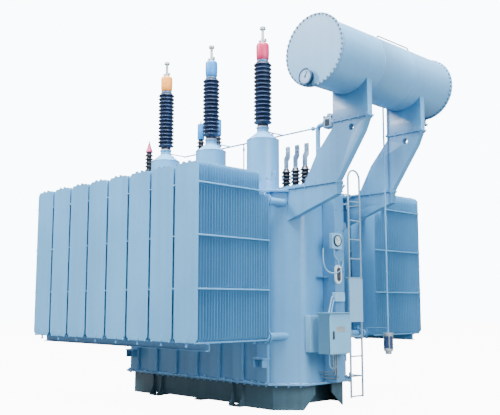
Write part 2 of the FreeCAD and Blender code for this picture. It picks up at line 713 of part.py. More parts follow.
outside = across_rod("ShellOutside", SHELL_START, "conservator_radius", "conservator_length")
NEAR_RIM = "conservator_radius + rim_lip"
FAR_RIM = "conservator_radius + far_rim_lip"
near_rim = across_rod("NearRim", SHELL_START, NEAR_RIM, "rim_thickness")
far_rim_start = "conservator_length / 2 - rim_thickness"
far_rim = across_rod("FarRim", far_rim_start, FAR_RIM, "rim_thickness")
inner = "conservator_radius - conservator_wall"
PAST = 5
hollow_start = f"{SHELL_START} - {PAST}"
hollow = across_rod("ShellInside", hollow_start, inner, f"conservator_length + 2 * {PAST}")
RAIL_ENDS = (90, 957)
RAIL_RISE = 120
RAIL_ROOT = 4
RAIL_LEVEL = f"({VESSEL_LEVEL} + conservator_radius + {RAIL_RISE})"
POST_RADIUS = 9
BAR_RADIUS = 11
rail_pieces = []
for end in RAIL_ENDS:
    post_start = f"{VESSEL_LEVEL} + conservator_radius - {RAIL_ROOT}"
    rail_pieces.append(rod("RailPost", AXIS[0], end, post_start, POST_RADIUS, RAIL_RISE + RAIL_ROOT))
    rail_pieces.append(ball("RailCorner", AXIS[0], end, RAIL_LEVEL, BAR_RADIUS))
rail_length = RAIL_ENDS[1] - RAIL_ENDS[0]
rail_pieces.append(rod("Rail", AXIS[0], RAIL_ENDS[0], RAIL_LEVEL, BAR_RADIUS, rail_length, "y"))
shell = cut("ShellRing", fuse("ShellSolid", [outside, near_rim, far_rim]), hollow)
subpart("conservator_shell", fuse("Shell", [shell] + rail_pieces))
covers = [
    across_rod("NearCover", f"{SHELL_START} - rim_thickness", NEAR_RIM, "rim_thickness"),
    across_rod("FarCover", "conservator_length / 2", FAR_RIM, "rim_thickness"),
]
subpart("conservator_covers", gather("ConservatorCovers", covers))
GAUGE_RADIUS = 128
GAUGE_DEPTH = 80
GAUGE_SIDE = 100
GAUGE_DROP = 390
gauge_y = f"-conservator_length / 2 - rim_thickness - {GAUGE_DEPTH}"
gauge_x = f"{VESSEL_ALONG} - {GAUGE_SIDE}"
gauge = rod("Gauge", gauge_x, gauge_y, f"{VESSEL_LEVEL} - {GAUGE_DROP}", GAUGE_RADIUS, GAUGE_DEPTH, "y")
subpart("oil_gauge", gauge)

PIPE_ROOM = 10
LAST_PIPE = "(radiator_count - 1) / 2 * radiator_pitch"


def support(name, middle):
    """A cantilever bracket, the leg standing on it and the saddle plate."""
    bracket = [
        ("tank_length / 2 - corner_cut", f"{BRACKET_TOP} - bracket_root"),
        (BRACKET_END, f"{BRACKET_TOP} - bracket_tip"),
        (BRACKET_END, BRACKET_TOP),
        ("tank_length / 2 - corner_cut", BRACKET_TOP),
    ]
    leg = [
        (f"{BRACKET_END} - leg_foot", f"{BRACKET_TOP} - 5"),
        (BRACKET_END, f"{BRACKET_TOP} - 5"),
        (f"{SADDLE_END} - 100", f"{SADDLE_LEVEL} - 220"),
        (SADDLE_END, SADDLE_LEVEL),
        (SADDLE_START, SADDLE_LEVEL),
        (SADDLE_START, f"{SADDLE_LEVEL} - 80"),
        (f"{SADDLE_START} - leg_lean", f"{SADDLE_LEVEL} - leg_rise"),
    ]
    saddle = [
        (SADDLE_START, SADDLE_LEVEL),
        (SADDLE_END, SADDLE_LEVEL),
        (SADDLE_END, VESSEL_LEVEL),
        (SADDLE_START, VESSEL_LEVEL),
    ]
    plates = [
        prism(name + "Bracket", "XZ", bracket, "leg_thickness"),
        prism(name + "Leg", "XZ", leg, "leg_thickness"),
        prism(name + "Saddle", "XZ", saddle, "leg_thickness"),
    ]
    for level, start, length in (
        (SADDLE_LEVEL, SADDLE_START, f"{SADDLE_END} - {SADDLE_START}"),
        (BRACKET_TOP, f"{BRACKET_END} - bracket_plate", "bracket_plate"),
    ):
        y = "-leg_thickness / 2 - 20"
        plate = block(name + "Plate", f"{start} - 15", y, f"{level} - 15", f"{length} + 30",
                      "leg_thickness + 40", 30)
        plates.append(plate)
    whole = place(fuse(name, plates), 0, middle, 0)
    seat = across_rod(name + "Seat", SHELL_START, "conservator_radius + seat_gap", "conservator_length")
    hole_along, hole_drop, hole_radius = 350, 135, 48
    hole = rod(name + "HandHole", f"{SADDLE_START} + {hole_along}", f"{middle} - leg_thickness",
               f"{SADDLE_LEVEL} - {hole_drop}", hole_radius, "2 * leg_thickness", "y")
    pipe_room = rod(name + "PipeRoom", LAST_PIPE, "-tank_width", TOP_LEVEL, f"pipe_radius + {PIPE_ROOM}",
                    "2 * tank_width", "y")
    tool = fuse(name + "Clearances", [seat, hole, pipe_room, tank, cover])
    return cut(name + "Trimmed", whole, tool)


subpart("near_support", support("NearSupport", "-leg_row + leg_thickness / 2"))
subpart("far_support", support("FarSupport", "leg_row + leg_thickness / 2"))

# ------------------------------------------------- pipes to the conservator
RELAY_LENGTH = 220
RELAY_START = f"({RISER_ALONG} + 150)"
PIPE_END = f"({VESSEL_ALONG} - 265)"
riser_length = f"{RISER_TOP} - {COVER_TOP}"
riser = rod("Riser", RISER_ALONG, 0, COVER_TOP, "relay_pipe_radius", riser_length)
elbow = ball("RiserElbow", RISER_ALONG, 0, RISER_TOP, "relay_pipe_radius")
stub = rod("RelayInlet", RISER_ALONG, 0, RISER_TOP, "relay_pipe_radius", 150, "x")
outlet_start = f"{RELAY_START} + {RELAY_LENGTH}"
outlet = rod("RelayOutlet", outlet_start, 0, RISER_TOP, "relay_pipe_radius",
             f"{PIPE_END} - ({outlet_start})", "x")
outlet_elbow = ball("OutletElbow", PIPE_END, 0, RISER_TOP, "relay_pipe_radius")
rise = rod("Rise", PIPE_END, 0, RISER_TOP, "relay_pipe_radius", f"{VESSEL_LEVEL} - {RISER_TOP}")
clear_shell = across_rod("PipeSeat", SHELL_START, "conservator_radius + seat_gap", "conservator_length")
outlet_line = cut("OutletLine", fuse("Outlet", [outlet, outlet_elbow, rise]), clear_shell)
subpart("relay_pipe", gather("RelayPipe", [fuse("Inlet", [riser, elbow, stub]), outlet_line]))
relay_pieces = [
    block("RelayBody", f"{RELAY_START} + 20", -75, f"{RISER_TOP} - 85", RELAY_LENGTH - 40, 150, 190),
    rod("RelayInFlange", RELAY_START, 0, RISER_TOP, 72, 20, "x"),
    rod("RelayOutFlange", f"{RELAY_START} + {RELAY_LENGTH - 20}", 0, RISER_TOP, 72, 20, "x"),
    rod("RelayDome", f"{RELAY_START} + {RELAY_LENGTH / 2}", 0, f"{RISER_TOP} + 100", 48, 70),
]
subpart("gas_relay", fuse("GasRelay", relay_pieces))

GAS_LEVEL = f"({RISER_TOP} - gas_pipe_drop)"
GAS_STUB = 40
GAS_START = f"(bushing_shift - bushing_pitch - {GAS_STUB})"
GAS_POST_RADIUS = 12
GAS_BRANCH_RADIUS = 11
gas_length = f"{RISER_ALONG} - relay_pipe_radius - {GAS_START}"
gas = [
    rod("GasHeader", GAS_START, 0, GAS_LEVEL, "gas_pipe_radius", gas_length, "x"),
    rod("GasPost", "gas_post_along", 0, COVER_TOP, GAS_POST_RADIUS, f"{GAS_LEVEL} - {COVER_TOP}"),
]
for step in (-1, 0, 1):
    x = f"bushing_shift + {step} * bushing_pitch"
    gas.append(rod("GasBranch", x, "bushing_row + neck_radius", GAS_LEVEL, GAS_BRANCH_RADIUS,
                   "-bushing_row - neck_radius", "y"))
subpart("gas_pipe", fuse("GasPipe", gas))

DRY_CAP = 45
DRY_LIP = 14
DRY_FLANGE = 20
DROP_RADIUS = 14
ARM_RADIUS = 9
ARM_RISE = 70
DRY_HEIGHT = 270
drop = rod("BreatherDrop", BREATHER_ALONG, "breather_row", "breather_level", DROP_RADIUS,
           f"{VESSEL_LEVEL} - breather_level")
arm_start = f"{END_WALL} + ladder_gap + rail_radius"
arm = rod("BreatherArm", arm_start, "breather_row", f"breather_level + {ARM_RISE}", ARM_RADIUS,
          f"{BREATHER_ALONG} - ({arm_start})", "x")
breather_seat = across_rod("BreatherSeat", SHELL_START, "conservator_radius + seat_gap", "conservator_length")
subpart("breather_pipe", cut("BreatherPipe", fuse("BreatherLine", [drop, arm]), breather_seat))
low_level = f"breather_level - {DRY_FLANGE + DRY_HEIGHT}"
dryer = [
    rod("DryFlange", BREATHER_ALONG, "breather_row", f"breather_level - {DRY_FLANGE}",
        f"breather_radius + {DRY_LIP}", DRY_FLANGE),
    rod("DryChamber", BREATHER_ALONG, "breather_row", low_level, "breather_radius", DRY_HEIGHT),
    rod("OilCup", BREATHER_ALONG, "breather_row", f"{low_level} - {DRY_CAP}", "0.72 * breather_radius",
        DRY_CAP),
]
subpart("breather", fuse("Breather", dryer))

# ------------------------------------------------------------ the end wall
DUCT_DROP = 20
BAND_RISE = 2460
BAND_DEPTH = 45
BAND_HEIGHT = 110
SHELF_RISE = 1640
SHELF_DEPTH = 110
SHELF_REACH = 180
SHELF_PLATE = 12
LAP = 2
duct = block("Duct", END_WALL, "duct_row - duct_width / 2", FLANGE_TOP, "duct_depth", "duct_width",
             f"tank_height - {DUCT_DROP}")
band_start = "duct_row + duct_width / 2"
band_end = "(tank_width / 2 - corner_cut)"
band = block("Band", END_WALL, f"{band_start} - {LAP}", f"{FLANGE_TOP} + {BAND_RISE}", BAND_DEPTH,
             f"{band_end} - ({band_start}) + {LAP}", BAND_HEIGHT)
shelf = block("Shelf", END_WALL, f"duct_row - duct_width / 2 - {SHELF_REACH}",
              f"{FLANGE_TOP} + {SHELF_RISE}", SHELF_DEPTH, SHELF_REACH + LAP, SHELF_PLATE)
subpart("end_wall_duct", fuse("EndWallDuct", [duct, band, shelf]))

DUCT_FACE = f"({END_WALL} + duct_depth)"
dial = [
    block("DialHousing", DUCT_FACE, "duct_row - 250", f"{FLANGE_TOP} + 2085", 60, 240, 250),
    rod("Dial", f"{DUCT_FACE} + 60", "duct_row - 130", f"{FLANGE_TOP} + 2215", 92, 24, "x"),
]
window = block("OilWindow", DUCT_FACE, "duct_row - 145", f"{FLANGE_TOP} + 1535", 38, 160, 300)
small_box = block("SmallBox", DUCT_FACE, "duct_row - 200", f"{FLANGE_TOP} + 1255", 70, 240, 145)
subpart("duct_instruments", gather("DuctInstruments", [fuse("DialUnit", dial), window, small_box]))

RELIEF_ROW = 500
RELIEF_HEIGHT = 250
relief_along = f"{END_WALL} - 110"
valve_foot = rod("ReliefFoot", relief_along, RELIEF_ROW, COVER_TOP, 105, 30)
valve_body = rod("ReliefBody", relief_along, RELIEF_ROW, COVER_TOP, 78, RELIEF_HEIGHT)
valve_cap = cone("ReliefCap", relief_along, RELIEF_ROW, f"{COVER_TOP} + {RELIEF_HEIGHT}", 92, 60, 45)
subpart("relief_valve", fuse("ReliefValve", [valve_foot, valve_body, valve_cap]))

# -------------------------------------------------------------- the ladder
LADDER_X = f"({END_WALL} + ladder_gap)"
ladder_pieces = []
for side in (-1, 1):
    y = f"ladder_row + {side} * ladder_width / 2"
    rail_span = f"{LADDER_TOP} - ladder_bottom"
    ladder_pieces.append(rod("LadderRail", LADDER_X, y, "ladder_bottom", "rail_radius", rail_span))
    for level in ("ladder_bottom + 330", "ladder_bottom + 1900", "ladder_bottom + 3110"):
        ladder_pieces.append(rod("StandOff", END_WALL, y, level, 12, "ladder_gap", "x"))
bow = document.addObject("Part::Torus", "LadderBow")
bow.Placement = FreeCAD.Placement(FreeCAD.Vector(), FreeCAD.Rotation(FreeCAD.Vector(0, 1, 0), 90))
bind(bow, Radius1="ladder_width / 2", Radius2="rail_radius")
place(bow, LADDER_X, "ladder_row", LADDER_TOP)
below = block("BowLower", f"{LADDER_X} - 60", "ladder_row - ladder_width", f"{LADDER_TOP} - ladder_width",
              120, "2 * ladder_width", "ladder_width")
ladder_pieces.append(cut("LadderHoop", bow, below))
rung_count = int(amount(f"({LADDER_TOP} - ladder_bottom) / rung_pitch"))
for number in range(rung_count):
    level = f"ladder_bottom + 20 + {number} * rung_pitch"
    start = "ladder_row - ladder_width / 2"
    ladder_pieces.append(rod("Rung", LADDER_X, start, level, "rung_radius", "ladder_width", "y"))
guard = block("Guard", f"{LADDER_X} + rail_radius - 4", "ladder_row - guard_width / 2", "guard_level", 8,
              "guard_width", "guard_height")
ladder_pieces.append(guard)
subpart("ladder", fuse("Ladder", ladder_pieces))

# --------------------------------------------------------- the control box
BOX_START = "(box_row - box_width / 2)"
BOX_BODY = "(box_depth - door_thickness - door_gap)"
case = block("Case", DUCT_FACE, BOX_START, "box_level", BOX_BODY, "box_width", "box_height")
case_hollow = block("CaseHollow", f"{DUCT_FACE} + box_wall", f"{BOX_START} + box_wall",
                    "box_level + box_wall", "box_depth", "box_width - 2 * box_wall",
                    "box_height - 2 * box_wall")
ROOF_OVERHANG = 34
roof = block("Roof", DUCT_FACE, f"{BOX_START} - {ROOF_OVERHANG / 2}", "box_level + box_height",
             f"box_depth + {ROOF_OVERHANG}", f"box_width + {ROOF_OVERHANG}", 12)
PIN_RADIUS = 5
KNUCKLE_RADIUS = 10
KNUCKLE_LENGTH = 60
HINGE_X = f"({DUCT_FACE} + {BOX_BODY} + door_gap + door_thickness / 2)"
HINGE_Y = f"({BOX_START} + box_width + 12)"
box_pieces = [cut("CaseShell", case, case_hollow), roof]
knuckles, bores = [], []
for share in (0.2, 0.8):
    level = f"(box_level + {share} * box_height)"
    pin_length = KNUCKLE_LENGTH + 40
    pin_start = f"{level} - {pin_length / 2}"
    box_pieces.append(rod("HingePin", HINGE_X, HINGE_Y, pin_start, PIN_RADIUS, pin_length))
    for side in (-1, 1):
        z = f"{level} + {side} * {KNUCKLE_LENGTH / 2 + 11} - 8"
        x = f"{DUCT_FACE} + {BOX_BODY} - 30"
        arm_length = f"{HINGE_X} + 5 - ({x})"
        box_pieces.append(block("HingeArm", x, f"{HINGE_Y} - 13", z, arm_length, 18, 16))
    start = f"{level} - {KNUCKLE_LENGTH / 2}"
    knuckle = rod("Knuckle", HINGE_X, HINGE_Y, start, KNUCKLE_RADIUS, KNUCKLE_LENGTH)
    leaf = block("KnuckleLeaf", f"{HINGE_X} - 3", f"{HINGE_Y} - 24", start, 8, 24, KNUCKLE_LENGTH)
    knuckles += [knuckle, leaf]
    bores.append(rod("KnuckleBore", HINGE_X, HINGE_Y, f"{level} - {KNUCKLE_LENGTH}", f"{PIN_RADIUS} + 0.4",
                     2 * KNUCKLE_LENGTH))
subpart("control_box", fuse("ControlBox", box_pieces))
DOOR_X = f"({DUCT_FACE} + {BOX_BODY} + door_gap)"
HANDLE_INSET = 60
HANDLE_RISE = 230
HANDLE_SIZE = (24, 26, 110)
door = block("DoorPan", DOOR_X, BOX_START, "box_level", "door_thickness", "box_width - door_gap",
             "box_height - door_gap")
handle = block("DoorHandle", f"{DOOR_X} + door_thickness", f"{BOX_START} + {HANDLE_INSET}",
               f"box_level + {HANDLE_RISE}", *HANDLE_SIZE)
door_whole = fuse("DoorWhole", [door, handle] + knuckles)
subpart("control_box_door", cut("ControlBoxDoor", door_whole, fuse("KnuckleBores", bores)))

SIDE_BOX_RISE = 475
SIDE_BOX_SIZE = (100, 270, 565)
side_box_start = "-tank_width / 2 + corner_cut + 8"
side_box = block("SideBox", END_WALL, side_box_start, f"{FLANGE_TOP} + {SIDE_BOX_RISE}", *SIDE_BOX_SIZE)
subpart("terminal_box", side_box)

CONDUIT_RADIUS = 11
conduits = []
for number in range(3):
    y = f"duct_row - duct_width / 2 - {40 + number * 45}"
    x = f"({DUCT_FACE} + 40)"
    low = f"({FLANGE_TOP} + {60 + number * 50})"
    length = f"box_level - {low}"
    run = rod("ConduitDrop", x, y, low, CONDUIT_RADIUS, length)
    bend = ball("ConduitBend", x, y, low, CONDUIT_RADIUS)
    inward = rod("ConduitRun", END_WALL, y, low, CONDUIT_RADIUS, "duct_depth + 40", "x")
    conduits.append(fuse("Conduit", [run, bend, inward]))
subpart("conduits", gather("Conduits", conduits))

document.recompute()
failed = []
for thing in document.Objects:
    if "Invalid" in thing.State or "Error" in thing.State:
        failed.append(thing.Label)
for thing in subparts:
    if thing.Shape.isNull() or not thing.Shape.isValid():
        failed.append(thing.Label)
if failed:
    raise RuntimeError("these did not build: " + ", ".join(failed))

os.makedirs("parts", exist_ok=True)
for thing in subparts:
    thing.Shape.exportStep(os.path.join("parts", thing.Label + ".step"))
print(len(subparts), "sub-parts written")
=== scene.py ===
# The looks of an oil power transformer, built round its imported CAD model.
# Everything is in metres in the CAD model's own frame: +X runs along the tank towards
# the conservator, +Y is the far side and +Z is up, with the ground at zero.

import json
import math

import bmesh
import bpy
from mathutils import Matrix, Vector

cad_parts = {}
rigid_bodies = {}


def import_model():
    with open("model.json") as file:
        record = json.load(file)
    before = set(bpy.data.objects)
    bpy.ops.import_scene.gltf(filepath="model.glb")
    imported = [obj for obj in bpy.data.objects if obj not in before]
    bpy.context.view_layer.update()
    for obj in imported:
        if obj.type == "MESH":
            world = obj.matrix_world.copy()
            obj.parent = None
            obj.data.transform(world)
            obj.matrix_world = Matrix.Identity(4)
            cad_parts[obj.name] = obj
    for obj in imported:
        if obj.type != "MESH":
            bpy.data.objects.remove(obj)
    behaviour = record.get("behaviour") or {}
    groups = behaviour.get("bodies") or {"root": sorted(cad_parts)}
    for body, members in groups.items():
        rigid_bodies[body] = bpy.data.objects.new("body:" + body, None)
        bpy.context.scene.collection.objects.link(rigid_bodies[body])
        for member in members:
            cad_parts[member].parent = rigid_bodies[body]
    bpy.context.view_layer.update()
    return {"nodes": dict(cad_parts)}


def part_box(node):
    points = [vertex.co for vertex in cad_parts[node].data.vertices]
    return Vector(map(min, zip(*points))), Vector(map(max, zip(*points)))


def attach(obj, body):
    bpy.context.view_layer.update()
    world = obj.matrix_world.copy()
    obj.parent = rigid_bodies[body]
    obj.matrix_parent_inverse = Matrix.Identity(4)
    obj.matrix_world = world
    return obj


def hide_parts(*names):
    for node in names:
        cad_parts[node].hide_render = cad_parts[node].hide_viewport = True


for spare in list(bpy.data.objects):
    bpy.data.objects.remove(spare)
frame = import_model()

# ---------------------------------------------------------------- the base frame
# Bent skirts round the tank corners, cross beams and two flared feet a side, all cut
# from 25 mm plate and welded. It is painted a darker grey blue than the tank, and the
# ground's dust clings to it.


class Signal:
    """A value on its way through a finish, so that masks are written as plain sums."""

    def __init__(self, finish, socket):
        self.finish = finish
        self.socket = socket

    def __add__(self, other):
        return self.finish.sum("ADD", self, other)

    def __sub__(self, other):
        return self.finish.sum("SUBTRACT", self, other)

    def __rsub__(self, other):
        return self.finish.sum("SUBTRACT", other, self)

    def __mul__(self, other):
        return self.finish.sum("MULTIPLY", self, other)

    def __truediv__(self, other):
        return self.finish.sum("DIVIDE", self, other)

    __radd__ = __add__
    __rmul__ = __mul__


class Finish:
    """A material in the making. Every node in it comes from one method."""

    def __init__(self, name):
        self.material = bpy.data.materials.new(name)
        self.material.use_nodes = True
        self.tree = self.material.node_tree
        self.tree.nodes.clear()
        self.place = self.node("ShaderNodeTexCoord", outlet="Object")

    def node(self, kind, settings=None, inputs=None, outlet=0):
        made = self.tree.nodes.new(kind)
        for name, value in (settings or {}).items():
            setattr(made, name, value)
        for name, value in (inputs or {}).items():
            if isinstance(value, Signal):
                self.tree.links.new(value.socket, made.inputs[name])
            else:
                made.inputs[name].default_value = value
        return Signal(self, made.outputs[outlet])

    def sum(self, operation, first, second=0.0):
        """Any one sum on a value or on two."""
        return self.node("ShaderNodeMath", {"operation": operation}, {0: first, 1: second})

    def cloud(self, scale, detail=2.0, stretch=(1, 1, 1)):
        """Soft random variation from 0 to 1, with about scale patches to the metre."""
        spread = self.node("ShaderNodeMapping", {}, {"Vector": self.place, "Scale": stretch})
        spots = {"Vector": spread, "Scale": scale, "Detail": detail}
        return self.node("ShaderNodeTexNoise", {}, spots)

    def along(self, vector, axis):
        """One coordinate of a place or a direction."""
        return self.node("ShaderNodeSeparateXYZ", {}, {"Vector": vector}, axis)

    def step(self, value, start, end):
        """0 at start, 1 at end, smooth between them."""
        ends = {"Value": value, "From Min": start, "From Max": end}
        return self.node("ShaderNodeMapRange", {"interpolation_type": "SMOOTHSTEP"}, ends)

    def mix(self, mask, first, second):
        """The first colour where the mask is 0 and the second where it is 1."""
        colours = {0: mask, 6: first, 7: second}
        return self.node("ShaderNodeMix", {"data_type": "RGBA"}, colours, 2)

    def upward(self):
        """1 on ledges that face the sky, 0 on walls and undersides."""
        facing = self.node("ShaderNodeNewGeometry", outlet="Normal")
        return self.step(self.along(facing, "Z"), 0.5, 0.95)

    def done(self, inputs, relief=None, depth=0.001):
        """Close the finish with its shader, its bumps depth metres high."""
        if relief is not None:
            bumps = {"Height": relief, "Distance": depth, "Strength": 1.0}
            inputs["Normal"] = self.node("ShaderNodeBump", {}, bumps)
        shader = self.node("ShaderNodeBsdfPrincipled", {}, inputs)
        closing = self.tree.nodes.new("ShaderNodeOutputMaterial")
        self.tree.links.new(shader.socket, closing.inputs["Surface"])
        return self.material


def paint_colour(red, green, blue):
    """A paint chip's red, green and blue, from 0 to 255, as the light that it returns."""
    chip = (red / 255, green / 255, blue / 255)
    curve = [part / 12.92 if part < 0.04 else ((part + 0.055) / 1.055) ** 2.4 for part in chip]
    return (*curve, 1.0)


def toned(colour, factor):
    """The same colour, lighter or darker."""
    return (*[min(1.0, part * factor) for part in colour[:3]], 1.0)


ROAD_DUST = paint_colour(124, 138, 142)
DUST_TOP = 1.7


def enamel(name, colour, rough=0.34, fade=0.09, dust=0.30):
    """Sprayed enamel: an uneven coat, rain streaks, and dust low down and on ledges."""
    paint = Finish(name)
    patch = paint.cloud(0.9, 3)
    grain = paint.cloud(16, 2)
    streak = paint.cloud(9, 3, (1, 1, 0.04))
    tone = paint.step(patch * 0.5 + streak * 0.35 + grain * 0.15, 0.35, 0.65)
    coat = paint.mix(tone, toned(colour, 1 - fade), toned(colour, 1 + fade))
    low = paint.step(paint.along(paint.place, "Z"), DUST_TOP, 0.0)
    dirt = (low * 0.7 + paint.upward() * 0.4) * (grain * 0.5 + streak * 0.9) * dust
    sheen = rough + patch * 0.10 + dirt * 0.5
    peel = paint.cloud(220, 1) * 0.4 + paint.cloud(60, 2) * 0.6
    inputs = {"Base Color": paint.mix(dirt, coat, ROAD_DUST), "Roughness": sheen}
    inputs["Coat Weight"] = 0.12
    return paint.done(inputs, peel, 0.0006)


MERGE = 0.00005
SHARP = math.radians(25)


def pattern(bm):
    """A finished shape, ready to be put into pieces as often as it is needed."""
    bmesh.ops.recalc_face_normals(bm, faces=bm.faces)
    mesh = bpy.data.meshes.new("pattern")
    bm.to_mesh(mesh)
    bm.free()
    return mesh


def moved(mesh, place):
    """A copy of a shape at another place."""
    copy = mesh.copy()
    copy.transform(place)
    return copy


def spot(point, facing=(0, 0, 1)):
    """The place at a point whose own upright axis points along facing."""
    turn = Vector((0, 0, 1)).rotation_difference(Vector(facing))
    return Matrix.Translation(Vector(point)) @ turn.to_matrix().to_4x4()


def ease(bm, width, segments=1, chosen=lambda edge: True):
    """Round off the sharp edges of a shape."""
    edges = [e for e in bm.edges if e.is_manifold and e.calc_face_angle() > SHARP and chosen(e)]
    bmesh.ops.bevel(bm, geom=edges, offset=width, offset_type="OFFSET", segments=segments,
                    profile=0.5, affect="EDGES", clamp_overlap=True, material=-1)


def steelwork(node, width=0.004):
    """A merged copy of a CAD node's plates, with every cut edge eased."""
    bm = bmesh.new()
    bm.from_mesh(frame["nodes"][node].data)
    bmesh.ops.remove_doubles(bm, verts=bm.verts, dist=MERGE)
    flat = math.radians(1)
    bmesh.ops.dissolve_limit(bm, angle_limit=flat, verts=bm.verts, edges=bm.edges)
    ease(bm, width)
    return pattern(bm)


def piece(name, shapes, material, slot, stands_for=(), body="transformer", corner=32):
    """Join shapes into one object, shade it round up to a corner and fix it to its body."""
    bm = bmesh.new()
    for shape in shapes:
        bm.from_mesh(shape)
    mesh = bpy.data.meshes.new(name)
    bm.to_mesh(mesh)
    bm.free()
    mesh.materials.append(material)
    mesh.shade_smooth()
    mesh.set_sharp_from_angle(angle=math.radians(corner))
    thing = bpy.data.objects.new(name, mesh)
    bpy.context.collection.objects.link(thing)
    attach(thing, body)
    if stands_for:
        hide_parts(*stands_for)
    return thing


BASE_BLUE = paint_colour(44, 84, 100)
base_paint = enamel("base_paint", BASE_BLUE, rough=0.45, dust=0.3)
piece("base_plates", [steelwork("base_frame", 0.005)], base_paint, "base_paint", ["base_frame"])

# ---------------------------------------------------------------- the bottom flange
# The tank wall stands on a 30 mm flange that is bolted down to the base all round,
# and the weld between wall and flange shows as a bead. Painted with the tank.

TANK_BLUE = paint_colour(86, 147, 192)
tank_paint = enamel("tank_paint", TANK_BLUE)
tank_low, tank_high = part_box("tank_body")
CORNER_LEG = 0.37
LEG_GROWTH = 2 - math.sqrt(2)


def tank_ring(grow):
    """The corners of the tank's plan, moved out from the wall."""
    along = tank_high.x + grow
    across = tank_high.y + grow
    leg = CORNER_LEG + LEG_GROWTH * grow
    quarter = [(along, across - leg), (along - leg, across)]
    left = [(-x, y) for x, y in reversed(quarter)]
    far = quarter + left
    return far + [(-x, -y) for x, y in far]


def spaced(corners, pitch):
    """Evenly spaced points along each side of a closed ring, in whole steps."""
    points = []
    for (x, y), (next_x, next_y) in zip(corners, corners[1:] + corners[:1]):
        count = max(2, round(math.hypot(next_x - x, next_y - y) / pitch))
        for step in range(count):
            share = (step + 0.5) / count
            points.append((x + (next_x - x) * share, y + (next_y - y) * share))
    return points


def hex_bolt(across, height):
    """A hexagon head on its washer, standing on the level."""
    bm = bmesh.new()
    washer = 0.2 * height
    for sides, radius, low, high in ((12, 0.66 * across, 0, washer), (6, 0.57 * across, washer, height)):
        middle = Matrix.Translation((0, 0, (low + high) / 2))
        bmesh.ops.create_cone(bm, cap_ends=True, cap_tris=False, segments=sides, radius1=radius,
                              radius2=radius, depth=high - low, matrix=middle)
    return pattern(bm)


def bead(corners, level, radius, sides=6):
    """A weld bead that follows a closed ring."""
    bm = bmesh.new()
    rings = []
    for index, (x, y) in enumerate(corners):
        before, after = Vector(corners[index - 1]), Vector(corners[(index + 1) % len(corners)])
        here = Vector((x, y))
        run = ((here - before).normalized() + (after - here).normalized()).normalized()
        place = spot((x, y, level), (run.x, run.y, 0))
        ring = bmesh.ops.create_circle(bm, segments=sides, radius=radius, matrix=place)["verts"]
        rings.append(list({edge for vert in ring for edge in vert.link_edges}))
    for first, second in zip(rings, rings[1:] + rings[:1]):
        bmesh.ops.bridge_loops(bm, edges=first + second)
    return pattern(bm)


flange_low, flange_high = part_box("bottom_flange")
FLANGE_BOLT = 0.034
flange_bolt = hex_bolt(FLANGE_BOLT, 0.026)
bolts = []
for x, y in spaced(tank_ring(0.052), 0.165):
    bolts.append(moved(flange_bolt, spot((x, y, flange_high.z - 0.001))))
    if abs(y) > tank_high.y - CORNER_LEG:
        bolts.append(moved(flange_bolt, spot((x, y, flange_low.z + 0.001), (0, 0, -1))))
piece("flange_plate", [steelwork("bottom_flange")], tank_paint, "tank_paint", ["bottom_flange"])
piece("flange_bolts", bolts, tank_paint, "tank_paint")

# ---------------------------------------------------------------- the tank
# Ten millimetre plate folded at the cut-off corners, so that each upright bend is
# rounded, with box stiffeners on the long walls and a weld bead top and bottom.

BEND_RADIUS = 0.07
bm = bmesh.new()
bm.from_mesh(frame["nodes"]["tank_body"].data)
bmesh.ops.remove_doubles(bm, verts=bm.verts, dist=MERGE)
bmesh.ops.dissolve_limit(bm, angle_limit=math.radians(1), verts=bm.verts, edges=bm.edges)
ease(bm, BEND_RADIUS, 6, lambda edge: abs(edge.verts[0].co.z - edge.verts[1].co.z) > 1)
tank_shell = pattern(bm)
wall_welds = [bead(tank_ring(0.002), level, 0.009) for level in (tank_low.z, tank_high.z)]
piece("tank_wall", [tank_shell] + wall_welds, tank_paint, "tank_paint", ["tank_body"])
for side in ("near", "far"):
    name = side + "_wall_stiffeners"
    piece(side + "_stiffeners", [steelwork(name, 0.012)], tank_paint, "tank_paint", [name])

JACK_PLATE = (0.16, 0.03, 0.13)


def plate(low, high, edge=0.004, segments=1):
    """A block of plate between two corners, with its edges eased."""
    low, high = Vector(low), Vector(high)
    size = Matrix.Diagonal((*(high - low), 1))
    bm = bmesh.new()
    bmesh.ops.create_cube(bm, size=1, matrix=Matrix.Translation((low + high) / 2) @ size)
    ease(bm, edge, segments)
    return pattern(bm)


jacks = []
for end in (-1, 1):
    for side in (-1, 1):
        x = end * (tank_high.x - CORNER_LEG - 0.14)
        y = side * tank_high.y
        reach = side * JACK_PLATE[0]
        low_y, high_y = min(y, y + reach), max(y, y + reach)
        z = flange_high.z
        jacks.append(plate((x - 0.12, low_y, z + 0.36), (x + 0.12, high_y, z + 0.385)))
        for across in (-0.09, 0.09):
            jacks.append(plate((x + across - 0.01, low_y, z + 0.24), (x + across + 0.01, high_y, z + 0.36)))
piece("jacking_lugs", jacks, tank_paint, "tank_paint")

# ---------------------------------------------------------------- the cover
# A flat 40 mm plate bolted to the tank's rim through a gasket, with lifting eyes near
# its corners. Its edge catches the light.

cover_low, cover_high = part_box("tank_cover")
COVER_OVERHANG = cover_high.x - tank_high.x
cover_bolts = []
for x, y in spaced(tank_ring(COVER_OVERHANG - 0.028), 0.15):
    cover_bolts.append(moved(flange_bolt, spot((x, y, cover_high.z - 0.001))))
gasket_ring = bead(tank_ring(COVER_OVERHANG - 0.01), cover_low.z, 0.007)
piece(
    "cover_plate", [steelwork("tank_cover", 0.006), gasket_ring], tank_paint, "tank_paint",
    ["tank_cover"],
)
piece("cover_bolts", cover_bolts, tank_paint, "tank_paint")


